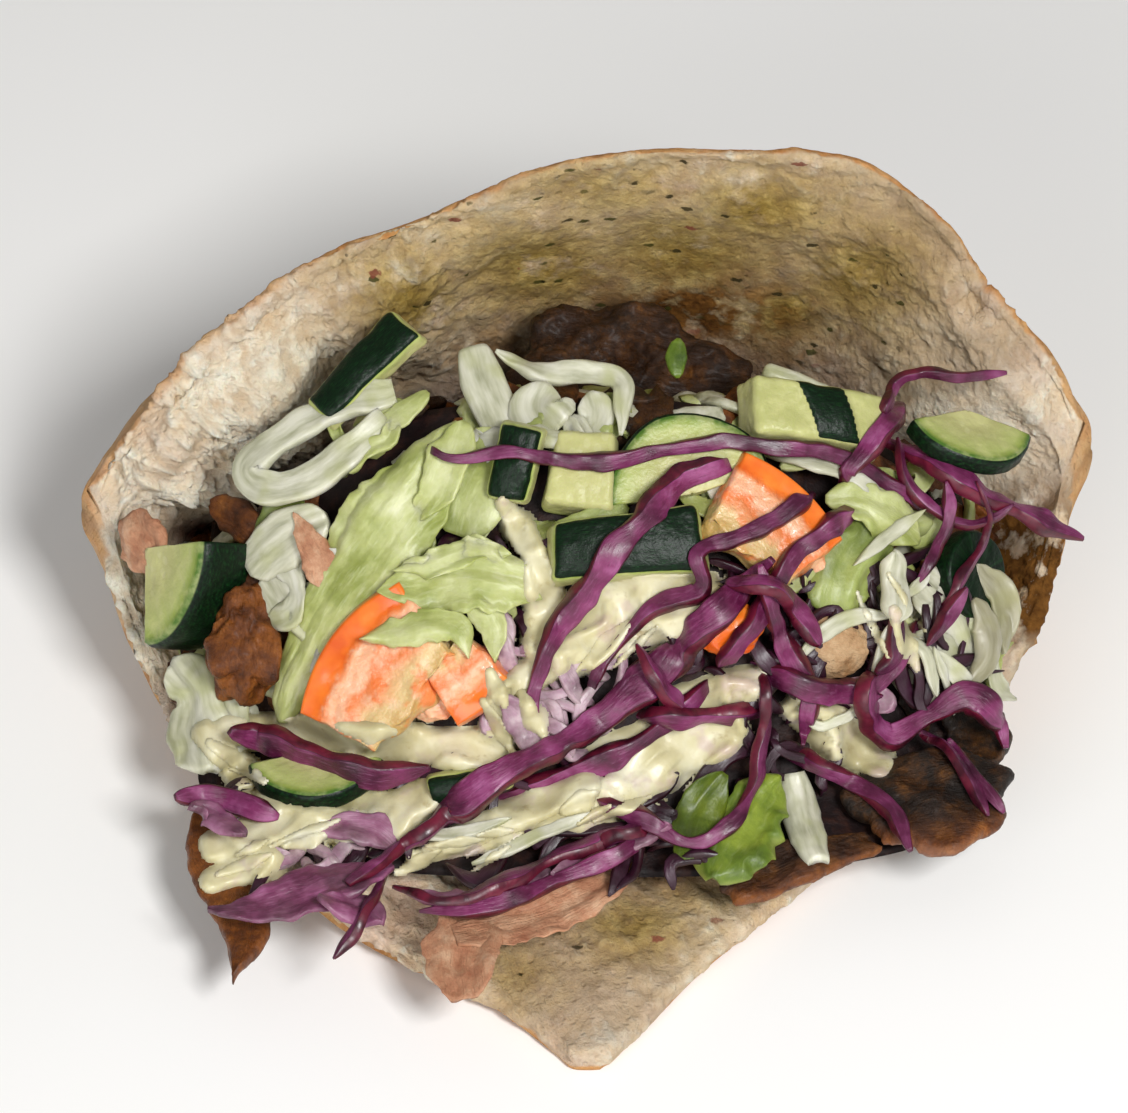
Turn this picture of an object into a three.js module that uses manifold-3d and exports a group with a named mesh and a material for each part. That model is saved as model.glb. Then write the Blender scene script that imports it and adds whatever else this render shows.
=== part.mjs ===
// Doner kebab sandwich: a wedge of flatbread opened like a clam and stuffed with meat, salad and sauce.
// Millimetres, +Z up. It lies on its lower flap, with the point of the wedge towards -Y, and the mouth
// of the pocket faces -Y and up. The origin is at the centre of its base.
import * as THREE from "three";
import { mergeVertices } from "three/addons/utils/BufferGeometryUtils.js";
import Module from "manifold-3d";

const wasm = await Module();
wasm.setup();

// ---------------------------------------------------------------- driving dimensions

const MOUTH_LEAN = Math.PI / 4; // the mouth's plane leans back this far from facing up
const MOUTH_RISE = 45; // height of the mouth frame's origin above the table
const MOUTH_SHIFT = [-0.5, -2.7]; // puts the origin under the middle of the whole sandwich
const GAP = 0.35; // clear space that neighbouring pieces keep

const BREAD = {
  floor: 8.5, // top of the lower flap where it lies flat
  lowerRim: 6.5, // thickness of the cut edge of the lower flap
  upperRim: 10, // thickness of the cut edge of the upper flap
  middle: 10, // thickness of both flaps away from the edges
  acrossSteps: 26,
  alongSteps: 16,
  crumb: 0.7, // depth of the torn crumb's lumps
  tuft: 5, // height of the tuft of crumb that stands up at the left end of the upper flap
};

const HEAP = {
  halfWidth: 72,
  crown: 8, // height of the filling's middle above the mouth frame's origin
  sideFall: 22, // how far it drops to the left and right ends
  frontFall: 7, // how far it drops 40 mm above or below its middle
  middle: -5,
  shelf: 19, // height above the table of what hangs out over the lower flap's rim
  underside: 8, // height above the table that it hangs down to
  depth: 75,
  hollow: 15, // how far the filling stops short of the left end of the upper flap
  bed: 3, // how far below the level of the toppings the body of the filling lies
  lumps: 1.2,
};

const CUCUMBER = { radius: 17, slice: 5 };
const TOMATO_RADIUS = 30;
const SHRED = { thick: 1.7, width: 4, step: 6, clear: 0.8 };

// ---------------------------------------------------------------- colours and materials

const surfaceOf = (color, roughness) => new THREE.MeshStandardMaterial({ color, roughness, metalness: 0 });
const MATERIALS = {
  bread: surfaceOf(0xd2b48c, 0.85),
  salad: surfaceOf(0x7a2f5c, 0.35),
  red_cabbage: surfaceOf(0x7a2f5c, 0.35),
  cucumber: surfaceOf(0xb7bf7c, 0.35),
  tomato: surfaceOf(0xe5733a, 0.3),
  meat: surfaceOf(0x6b3f28, 0.6),
  lettuce: surfaceOf(0xc3cf92, 0.4),
  onion: surfaceOf(0xd8d9c8, 0.35),
  sauce: surfaceOf(0xe8e2bf, 0.3),
};

// ---------------------------------------------------------------- small maths

const { sin, cos, min, max, abs, sqrt, hypot, PI } = Math;
const vec = (x, y, z) => new THREE.Vector3(x, y, z);
const radians = (degrees) => (degrees * PI) / 180;
const smooth = (x, low, high) => THREE.MathUtils.smoothstep(x, low, high);
const smoothMax = (p, q, blend) => (p + q + sqrt((p - q) ** 2 + blend ** 2)) / 2;

// A smooth unevenness between -1 and 1; size is the width of its lumps.
function uneven(x, y, z, size, seed = 0) {
  const [u, v, w] = [x / size, y / size, z / size];
  const first = sin(2.1 * u + 1.3 * sin(1.7 * v + seed) + seed) * sin(1.9 * v + w + 2 * seed);
  const second = sin(3.7 * v + 2.3 * w - seed) * sin(4.1 * u - 1.1 * w + 3 * seed);
  return 0.65 * first + 0.35 * second;
}

// ---------------------------------------------------------------- solids from geometry

// The geometry as a solid, after map has moved each of its vertices.
function solidOf(geometry, map) {
  const bare = geometry.clone();
  bare.deleteAttribute("normal");
  bare.deleteAttribute("uv");
  const merged = mergeVertices(bare, 1e-4);
  const position = merged.getAttribute("position");
  const p = vec(0, 0, 0);
  for (let i = 0; i < position.count; i++) {
    p.fromBufferAttribute(position, i);
    position.setXYZ(i, ...map(p).toArray());
  }
  const mesh = { numProp: 3, vertProperties: position.array, triVerts: new Uint32Array(merged.index.array) };
  const made = new wasm.Manifold(new wasm.Mesh(mesh));
  if (made.volume() > 0) return made;
  mesh.triVerts.reverse();
  return new wasm.Manifold(new wasm.Mesh(mesh));
}

// A box from -1 to 1 each way, split into steps, which a map bends into shape.
const block = (across, along, deep = 1) => new THREE.BoxGeometry(2, 2, 2, across, along, deep);

// A round plate with both faces split alike: face(share, angle, side) gives each point, where share
// runs from 0 in the middle to 1 at the edge, and side is 1 on the upper face and -1 on the lower.
function plateOf(rings, spokes, face) {
  const points = [];
  const triangles = [];
  const at = (side, ring, spoke) => {
    const start = side > 0 ? 0 : 1 + rings * spokes;
    return ring === 0 ? start : start + 1 + (ring - 1) * spokes + (spoke % spokes);
  };
  for (const side of [1, -1]) {
    points.push(face(0, 0, side));
    for (let ring = 1; ring <= rings; ring++)
      for (let spoke = 0; spoke < spokes; spoke++)
        points.push(face(ring / rings, (2 * PI * spoke) / spokes, side));
    const turned = (a, b, c) => triangles.push(...(side > 0 ? [a, b, c] : [a, c, b]));
    for (let spoke = 0; spoke < spokes; spoke++) {
      turned(at(side, 0, 0), at(side, 1, spoke), at(side, 1, spoke + 1));
      for (let ring = 1; ring < rings; ring++) {
        turned(at(side, ring, spoke), at(side, ring + 1, spoke), at(side, ring + 1, spoke + 1));
        turned(at(side, ring, spoke), at(side, ring + 1, spoke + 1), at(side, ring, spoke + 1));
      }
    }
  }
  for (let spoke = 0; spoke < spokes; spoke++) {
    const [a, b] = [at(1, rings, spoke), at(1, rings, spoke + 1)];
    const [c, d] = [at(-1, rings, spoke), at(-1, rings, spoke + 1)];
    triangles.push(a, c, b, b, c, d);
  }
  const geometry = new THREE.BufferGeometry().setFromPoints(points).setIndex(triangles);
  return solidOf(geometry, (p) => p);
}

const largest = (solid) =>
  solid.decompose().reduce((best, one) => (one.volume() > best.volume() ? one : best));

const placed = (solid, matrix) => solid.transform(matrix.elements);

// The solid with each of its faces moved out by at least this much.
function inflated(solid, by) {
  const { vertProperties, triVerts } = solid.getMesh();
  const corner = (index) => vec(...vertProperties.subarray(3 * index, 3 * index + 3));
  const faces = Array.from({ length: vertProperties.length / 3 }, () => []);
  for (let i = 0; i < triVerts.length; i += 3) {
    const around = triVerts.subarray(i, i + 3);
    const normal = new THREE.Triangle(...Array.from(around, corner)).getNormal(vec(0, 0, 0));
    for (const index of around)
      if (!faces[index].some((other) => other.dot(normal) > 0.999)) faces[index].push(normal);
  }
  const moved = faces.flatMap((normals, index) => {
    const mean = normals.reduce((sum, normal) => sum.add(normal), vec(0, 0, 0)).normalize();
    const slant = min(...normals.map((normal) => normal.dot(mean)));
    return corner(index).addScaledVector(mean, by / max(slant, 0.3)).toArray();
  });
  const mesh = { numProp: 3, vertProperties: new Float32Array(moved), triVerts };
  return new wasm.Manifold(new wasm.Mesh(mesh)).add(solid);
}

// ---------------------------------------------------------------- the mouth frame

// Across a to the right, up b along the mouth and out h towards whoever looks into it.
const UP = vec(0, sin(MOUTH_LEAN), cos(MOUTH_LEAN));
const OUT = vec(0, -cos(MOUTH_LEAN), sin(MOUTH_LEAN));
const mouth = (a, b, h) =>
  vec(a, 0, MOUTH_RISE).addScaledVector(UP, b).addScaledVector(OUT, h);

// How far out the filling's surface stands at a, b.
function heapTop(a, b) {
  const { crown, sideFall, halfWidth, frontFall, middle } = HEAP;
  return crown - sideFall * (a / halfWidth) ** 2 - frontFall * ((b - middle) / 40) ** 2;
}

// The same, but no lower than a shelf at the rim of the lower flap, for what hangs out over it.
function restingOn(a, b) {
  const shelf = (HEAP.shelf - MOUTH_RISE) / sin(MOUTH_LEAN) - b;
  return smoothMax(heapTop(a, b), shelf, 4);
}

function outward(a, b) {
  const step = 1;
  const slopeA = (restingOn(a + step, b) - restingOn(a - step, b)) / (2 * step);
  const slopeB = (restingOn(a, b + step) - restingOn(a, b - step)) / (2 * step);
  return mouth(-slopeA, -slopeB, 1).sub(mouth(0, 0, 0)).normalize();
}

// Seats a piece on the filling at a, b, raised by lift: turned in its own plane, then tipped about its
// own long axis and rolled about its short one, in degrees.
function seat({ a, b, lift = 0, turn = 0, tip = 0, roll = 0 }) {
  const normal = outward(a, b);
  const right = vec(1, 0, 0).addScaledVector(normal, -normal.x).normalize();
  const basis = new THREE.Matrix4().makeBasis(right, normal.clone().cross(right), normal);
  const spin = new THREE.Euler(radians(tip), radians(roll), radians(turn), "ZYX");
  const spot = mouth(a, b, restingOn(a, b)).addScaledVector(normal, lift);
  return basis.multiply(new THREE.Matrix4().makeRotationFromEuler(spin)).setPosition(spot);
}

// ---------------------------------------------------------------- bread

const smoothCurve = (points) =>
  new THREE.CatmullRomCurve3(points.map((p) => vec(...p)), false, "centripetal");

// Inner edges of the two flaps from the left corner of the mouth to the right one, and the fold between.
const LOWER_EDGE = smoothCurve([
  [-84.5, 24, 31], [-82, 16, 24.5], [-77, 7, 18], [-68, -9, 13], [-56, -28, 10], [-42, -43, 8.5],
  [-18, -57, 7], [-5, -69, 6.5], [1, -74, 6.5], [7, -68, 6.5], [21, -50, 7], [48, -23, 9],
  [72, 4, 16], [82, 18, 26], [86, 32, 37],
]);
const UPPER_EDGE = smoothCurve([
  [-84.5, 28, 36], [-79, 31, 46], [-70.5, 34, 58], [-59.5, 38.5, 68], [-45, 44, 78], [-20, 47, 89],
  [2, 50, 97], [26, 50, 99], [48, 51, 94], [63, 47, 82], [73, 43, 67], [81, 40, 55], [86, 37, 44],
]);
const FOLD = smoothCurve([
  [-85.5, 27, 34], [-67, 43, 29], [-38, 59, 23], [0, 66, 20], [38, 61, 23], [67, 47, 31], [87, 36, 40],
]);
const POINT = LOWER_EDGE.getPointAt(0.5);

// Away from the wedge's point, level.
const radial = (p) => vec(p.x - POINT.x, p.y - POINT.y, 0).normalize();

// The pocket's inner surface: u runs from the left corner to the right one, and w from -1 at the lower
// edge through 0 at the fold to 1 at the upper edge.
function sectionAt(u) {
  const [low, fold, high] = [LOWER_EDGE, FOLD, UPPER_EDGE].map((curve) => curve.getPointAt(u));
  const fullness = sqrt(max(0, sin(PI * u)));
  const back = radial(fold);
  const floorAt = (share, sag) => {
    const p = low.clone().lerp(fold, share);
    return p.setZ(max(BREAD.floor, p.z - sag * fullness));
  };
  const wallAt = (share, bulge) =>
    high.clone().lerp(fold, 1 - share).addScaledVector(back, bulge * fullness);
  return new THREE.CatmullRomCurve3(
    [low, floorAt(0.35, 3), floorAt(0.8, 12), fold, wallAt(0.3, 6), wallAt(0.7, 7), high],
    false,
    "centripetal",
  );
}

// Which way the crust lies from the inner surface.
function crustward(inner, u, w) {
  const side = abs(2 * u - 1) ** 2;
  const underneath = 1 - smooth(w, -0.45, -0.05);
  const level = 1 - underneath * 0.85 * (1 - side);
  const rise = 0.2 * smooth(w, 0.1, 0.7) - underneath * (1 - 0.7 * side);
  return radial(inner).multiplyScalar(level).add(vec(0, 0, rise)).normalize();
}

function breadThickness(u, w) {
  const edge = w < 0 ? BREAD.lowerRim : BREAD.upperRim;
  const even = THREE.MathUtils.lerp(BREAD.middle, edge, smooth(abs(w), 0.55, 1));
  return even * (1 + 0.1 * uneven(u * 12, w * 2, 0, 1));
}

// How far the crumb stands up above the pocket's inner surface.
function crumbRelief(p, u, w) {
  const tuft = BREAD.tuft * Math.exp(-(((u - 0.13) / 0.06) ** 2) - ((w - 0.35) / 0.16) ** 2);
  return tuft - BREAD.crumb * uneven(p.x, p.y, p.z, 7);
}

// The whole pocket as one solid, in so many steps each way.
function breadSolid(acrossSteps, alongSteps) {
  const sections = new Map();
  const sectionFor = (u) => {
    if (!sections.has(u)) sections.set(u, sectionAt(u));
    return sections.get(u);
  };
  return solidOf(block(acrossSteps, alongSteps), (p) => {
    const u = (p.x + 1) / 2;
    const inner = sectionFor(u).getPoint((p.y + 1) / 2);
    const away = crustward(inner, u, p.y);
    if (p.z > 0) return inner.addScaledVector(away, -crumbRelief(inner, u, p.y));
    const crust = inner.addScaledVector(away, breadThickness(u, p.y));
    return crust.setZ(max(crust.z, 0));
  });
}

// ---------------------------------------------------------------- filling

// The body of the filling, from its surface down into the bread, before the bread is cut away from it.
function heapCore() {
  const frontEdge = (a) => -51 + 9 * abs(a / HEAP.halfWidth) ** 3;
  const backEdge = (a) => 36 - 14 * (a / HEAP.halfWidth) ** 2 - HEAP.hollow * smooth(-a, 35, 62);
  return solidOf(block(22, 14), (p) => {
    const a = p.x * HEAP.halfWidth * (1 - 0.05 * p.y ** 4) + 1.5 * uneven(p.y * 30, 0, 0, 8);
    const b = THREE.MathUtils.lerp(frontEdge(a), backEdge(a), (p.y + 1) / 2);
    const rounding = 5 * abs(p.x) ** 8 + 2 * abs(p.y) ** 6;
    const top = restingOn(a, b) - HEAP.bed - rounding + HEAP.lumps * uneven(a, b, 0, 6, 2);
    const point = mouth(a, b, p.z > 0 ? top : top - HEAP.depth);
    return point.setZ(max(point.z, p.z > 0 ? HEAP.underside + 3 : HEAP.underside));
  });
}

// A flat shred along a route of [a, b, lift] points, lifted wherever coverAt says that toppings lie in
// its way, and tapering at its ends.
function shred({ route, width = SHRED.width, thick = SHRED.thick, taper = 0.5 }, coverAt = () => -99) {
  const planned = smoothCurve(route);
  const steps = max(4, Math.round(planned.getLength() / SHRED.step));
  const spots = planned.getSpacedPoints(steps);
  const covers = spots.map(({ x, y }) => coverAt(x, y) + SHRED.clear + thick / 2);
  const lifts = spots.map(({ z }, i) => max(z, ...covers.slice(max(0, i - 1), i + 2)));
  const path = smoothCurve(
    spots.map(({ x, y }, i) => mouth(x, y, restingOn(x, y) + lifts[i]).toArray()),
  );
  return solidOf(block(1, 1, steps), (p) => {
    const share = (p.z + 1) / 2;
    const { x, y } = planned.getPointAt(share);
    const along = path.getTangentAt(share);
    const across = along.clone().cross(outward(x, y)).normalize();
    const face = across.clone().cross(along).normalize();
    const full = 1 - taper * abs(p.z) ** 6;
    return path
      .getPointAt(share)
      .addScaledVector(across, (p.x * width * full) / 2)
      .addScaledVector(face, (p.y * thick * full) / 2);
  });
}

// ---------------------------------------------------------------- kinds of topping, in their own frames

// Part of a cucumber slice, between two angles in degrees: its centre line stands upright.
function cucumberSlice({ from = 0, to = 180, radius = CUCUMBER.radius, thick = CUCUMBER.slice }) {
  const shape = new THREE.Shape();
  if (to - from < 350) shape.moveTo(0, 0);
  shape.absarc(0, 0, radius, radians(from), radians(to), false);
  shape.closePath();
  const settings = { depth: thick, bevelEnabled: false, curveSegments: 14 };
  const middle = radians((from + to) / 2);
  const shift = vec(-cos(middle), -sin(middle), 0).multiplyScalar(radius * 0.45);
  return solidOf(new THREE.ExtrudeGeometry(shape, settings), (p) =>
    p.add(shift).add(vec(0, 0, -thick / 2)),
  );
}

// A slab with rounded sides, for onion, cucumber batons and diced pieces.
function slab({ length, width, thick, bow = 0, round = 4 }) {
  const half = vec(length / 2, width / 2, thick / 2);
  return solidOf(block(5, 2, 2), (p) => {
    const pinch = (q, r) => 1 - 0.07 * (abs(q) ** round + abs(r) ** round);
    const x = p.x * half.x * pinch(p.y, p.z);
    const y = p.y * half.y * pinch(p.x, p.z);
    const z = p.z * half.z * pinch(p.x, p.y) + bow * (1 - p.x ** 2);
    return vec(x, y, z);
  });
}

// A thin piece with a ragged outline and waves: lettuce, sliced meat and pools of sauce.
function sheet({ length, width, thick, ragged = 0.12, wave = 1.5, curl = 0, seed = 1, rings = 2 }) {
  return plateOf(rings, 18, (share, angle, side) => {
    const edge = 1 + ragged * (sin(3 * angle + seed) + 0.6 * sin(7 * angle + 2 * seed)) * share;
    const x = (length / 2) * edge * share * cos(angle);
    const y = (width / 2) * edge * share * sin(angle);
    const rise = wave * uneven(x, y, 0, 7, seed) + curl * ((2 * y) / width) ** 2;
    const skin = (thick / 2) * (1 - 0.5 * share ** 6);
    return vec(x, y, rise + side * skin);
  });
}

// A rough lump of meat.
function lump({ length, width, thick, rough = 0.14, seed = 1 }) {
  const half = vec(length / 2, width / 2, thick / 2);
  return solidOf(new THREE.IcosahedronGeometry(1, 2), (p) => {
    const swell = 1 + rough * uneven(p.x, p.y, p.z, 0.35, seed);
    return p.clone().multiplyScalar(swell).multiply(half);
  });
}

// A piece cut out of a tomato's wall: its skin bulges towards -X, and it thins towards +X.
function tomatoPiece({ length, depth, thick, seed = 1 }) {
  return solidOf(block(4, 6, 3), (p) => {
    const inward = (p.x + 1) / 2;
    const y = (p.y * length * (1 - 0.25 * inward)) / 2;
    const z = (p.z * thick * (1 - 0.5 * inward)) / 2;
    const skin = TOMATO_RADIUS - sqrt(TOMATO_RADIUS ** 2 - y ** 2 - 4 * z ** 2);
    const torn = 0.12 * depth * uneven(y, z, 0, 6, seed);
    return vec(THREE.MathUtils.lerp(skin, depth + torn, inward) - depth / 2, y, z);
  });
}

// ---------------------------------------------------------------- what lies where

// From the top of the filling to the bottom: each piece is whole where it shows, and presses into those
// that come after it. Places are in the mouth frame, in millimetres, and angles in degrees.
const TOPPINGS = [
  // thick strips on top of all
  { name: "red_cabbage_strip_left", make: shred, of: { width: 5.6, thick: 2.6,
    route: [[-63, -23.5, 3], [-55, -25.5, 4], [-46, -29, 5], [-38, -31, 4.6], [-27.5, -30, 3.6]] } },
  { name: "red_cabbage_strip_corner", make: shred, of: { width: 4.4, thick: 2.2,
    route: [[-73, -35, 3], [-66, -35.5, 2.4], [-60, -37, 1.6], [-54.5, -38.5, 0.8]] } },
  { name: "onion_strip_back", make: shred, of: { width: 3.2, thick: 1.8,
    route: [[-15.5, 44.5, -2], [-8, 40.5, -2], [3, 40.6, -1], [6.6, 39, 0], [6.2, 29.5, 2.6]] } },
  { name: "onion_strip_right", make: shred, of: { width: 5, thick: 2.4,
    route: [[55.5, 8.5, 4], [55.2, 4, 4.4], [55.8, 0, 4.6], [55.5, -4, 4.4]] } },
  { name: "onion_stick_back", make: slab, of: { length: 13, width: 3.4, thick: 3, bow: 0.4 },
    at: { a: 38, b: 38.6, lift: 0, turn: -17 } },
  // sauce on top
  { name: "sauce_pool_middle", make: sheet, of: { length: 27, width: 11, thick: 2.4, seed: 1 },
    at: { a: 8, b: -3, lift: 1.5, turn: 12 } },
  { name: "sauce_pool_front", make: sheet, of: { length: 24, width: 13, thick: 2.6, seed: 2 },
    at: { a: 12, b: -30, lift: 0.6, turn: 20 } },
  { name: "sauce_pool_left", make: sheet, of: { length: 34, width: 9, thick: 2.2, seed: 3 },
    at: { a: -40, b: -27, lift: 1, turn: -6 } },
  { name: "sauce_drip_corner", make: sheet, of: { length: 30, width: 14, thick: 2.4, seed: 4 },
    at: { a: -46, b: -44, lift: -0.5, turn: -4 } },
  { name: "sauce_pool_right", make: sheet, of: { length: 16, width: 12, thick: 2.4, seed: 5 },
    at: { a: 43, b: -22, lift: 1, turn: -30 } },
  // tomato
  { name: "tomato_wedge_left", make: tomatoPiece, of: { length: 31, depth: 21, thick: 11 },
    at: { a: -36, b: -12, lift: 2, turn: -38, tip: 0, roll: -12 } },
  { name: "tomato_dice_left", make: lump, of: { length: 15, width: 9, thick: 8, rough: 0.08, seed: 5 },
    at: { a: -20, b: -14, lift: 2.5, turn: 12 } },
  { name: "tomato_wedge_right", make: tomatoPiece, of: { length: 24, depth: 18, thick: 11, seed: 4 },
    at: { a: 32, b: 13, lift: 2.5, turn: -130, roll: -16 } },
  { name: "tomato_dice_right", make: lump, of: { length: 13, width: 10, thick: 8, rough: 0.08, seed: 7 },
    at: { a: 25, b: -5, lift: 2.5 } },
  // cucumber
  { name: "cucumber_baton_back", make: slab, of: { length: 20, width: 9.5, thick: 6, bow: 0.6 },
    at: { a: -38.5, b: 41.6, lift: -3, turn: 48, roll: -8 } },
  { name: "cucumber_quarter_left", make: cucumberSlice, of: { from: 270, to: 360, radius: 18, thick: 12 },
    at: { a: -71, b: 3.5, lift: 0, roll: -35 } },
  { name: "cucumber_stub_middle", make: slab, of: { length: 14, width: 9, thick: 7, bow: 0.6 },
    at: { a: -11.2, b: 24, lift: 3, turn: 76 } },
  { name: "cucumber_half_middle", make: cucumberSlice, of: { from: 20, to: 190, radius: 15, thick: 4 },
    at: { a: 17, b: 24.5, lift: 1.5, turn: 0, tip: 6 } },
  { name: "cucumber_wedge_middle", make: slab, of: { length: 14.5, width: 12, thick: 7, bow: 0.6 },
    at: { a: -0.5, b: 22.5, lift: 0, turn: 84 } },
  { name: "cucumber_baton_middle", make: slab, of: { length: 27.5, width: 11.5, thick: 7, bow: 1 },
    at: { a: 7.3, b: 9, lift: 3, turn: 6 } },
  { name: "cucumber_half_back", make: slab, of: { length: 26, width: 11, thick: 8, bow: 1 },
    at: { a: 40.5, b: 31.5, lift: 2, turn: -3 } },
  { name: "cucumber_slice_right", make: cucumberSlice, of: { from: 190, to: 330, radius: 13, thick: 4 },
    at: { a: 66.5, b: 27, lift: 6, turn: 8, tip: -30 } },
  { name: "cucumber_slice_front", make: cucumberSlice, of: { from: 195, to: 345, radius: 12.5, thick: 4 },
    at: { a: -47.6, b: -33.5, lift: 3, tip: -14 } },
  { name: "cucumber_rind_front", make: slab, of: { length: 15, width: 5.5, thick: 4 },
    at: { a: -20, b: -32.3, lift: 1.8, turn: 14 } },
  { name: "cucumber_round_right", make: cucumberSlice, of: { from: 0, to: 359, radius: 8, thick: 4 },
    at: { a: 66.5, b: 4, lift: -0.5, roll: 25 } },
  // onion and white cabbage in thick pieces
  { name: "onion_fold_back", make: shred, of: { width: 5, thick: 7,
    route: [
      [-38, 35, 1], [-48, 31, 1], [-56, 25, 3], [-58, 20, 4], [-53, 19, 4], [-45, 22, 3], [-38, 25, 0],
    ] } },
  { name: "onion_piece_back", make: slab, of: { length: 15, width: 8, thick: 3.4, bow: 1 },
    at: { a: -17.6, b: 37, lift: -1, turn: -68 } },
  { name: "onion_piece_front", make: slab, of: { length: 15.5, width: 6.5, thick: 3.2, bow: 1 },
    at: { a: 39.5, b: -38.5, lift: -1, turn: -80 } },
  { name: "onion_layer_left", make: sheet, of: { length: 24, width: 14, thick: 2.6, curl: 1.5, seed: 3 },
    at: { a: -66, b: -21, lift: 0, turn: -52 } },
  { name: "onion_layer_middle", make: sheet, of: { length: 20, width: 13, thick: 2.2, seed: 8 },
    at: { a: -52, b: 6, lift: 0, turn: 52 } },
  { name: "onion_layer_right", make: sheet, of: { length: 19, width: 10, thick: 2.4, seed: 9 },
    at: { a: 70, b: -7, lift: -1.5, turn: -58 } },
  { name: "cabbage_flake_back", make: sheet, of: { length: 13, width: 9, thick: 2, seed: 6 },
    at: { a: -4, b: 34, lift: -1, turn: -12 } },
  // meat on top
  { name: "meat_lump_left", make: lump, of: { length: 20, width: 14, thick: 11, rough: 0.2, seed: 3 },
    at: { a: -60.5, b: -8, lift: 1.5, turn: 98 } },
  { name: "meat_slice_front", make: sheet,
    of: { length: 46, width: 13, thick: 3, wave: 1.2, seed: 5, ragged: 0.1 },
    at: { a: -6, b: -57, lift: -3.5, turn: 20 } },
  { name: "meat_slab_right", make: sheet,
    of: { length: 28, width: 23, thick: 5, wave: 1.2, seed: 6, ragged: 0.08 },
    at: { a: 62, b: -35, lift: -1, turn: 10 } },
  { name: "meat_tip_left", make: sheet, of: { length: 30, width: 12, thick: 3.4, seed: 7, ragged: 0.1 },
    at: { a: -62, b: -51, lift: -7, turn: 96 } },
  { name: "meat_tan_right", make: slab, of: { length: 12, width: 9, thick: 6 },
    at: { a: 44, b: -7, lift: 1, turn: -16 } },
  { name: "meat_strip_middle", make: slab, of: { length: 12, width: 4, thick: 2.5 },
    at: { a: -47.5, b: 9, lift: 2.4, turn: 100 } },
  // lettuce
  { name: "lettuce_curl_middle", make: sheet,
    of: { length: 31, width: 14, thick: 1.5, wave: 1.6, seed: 2, ragged: 0.16 },
    at: { a: -23, b: -1, lift: 3.2, turn: -14 } },
  { name: "lettuce_long_left", make: sheet,
    of: { length: 66, width: 19, thick: 1.6, wave: 1.2, seed: 4, ragged: 0.07 },
    at: { a: -41, b: 1, lift: 1, turn: 60 } },
  { name: "lettuce_leaf_back", make: sheet, of: { length: 20, width: 17, thick: 1.5, wave: 1.6, seed: 5 },
    at: { a: -20, b: 19, lift: 0, turn: 70 } },
  { name: "lettuce_leaf_right", make: sheet, of: { length: 24, width: 15, thick: 1.5, wave: 1.6, seed: 6 },
    at: { a: 52, b: 7, lift: 1, turn: 60 } },
  { name: "lettuce_leaf_front", make: sheet, of: { length: 26, width: 13, thick: 1.5, wave: 1.4, seed: 7 },
    at: { a: 26, b: -42, lift: -1.4, turn: 56 } },
  { name: "lettuce_chip_middle", make: sheet, of: { length: 15, width: 7, thick: 1.5, seed: 8 },
    at: { a: 2, b: 15.5, lift: 3, turn: 14 } },
  // meat at the back and sides of the pocket
  { name: "meat_slab_back", make: sheet,
    of: { length: 46, width: 28, thick: 5, wave: 2, seed: 2, ragged: 0.1 },
    at: { a: 10, b: 50, lift: -25, turn: -4, tip: 8 } },
  { name: "meat_fold_left", make: slab, of: { length: 15, width: 7, thick: 3 },
    at: { a: -78, b: 9, lift: 2, turn: -62, roll: 10 } },
  { name: "meat_slab_front", make: sheet, of: { length: 30, width: 12, thick: 4, wave: 1, seed: 9 },
    at: { a: 38, b: -45, lift: -3.6, turn: 24 } },
];

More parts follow.
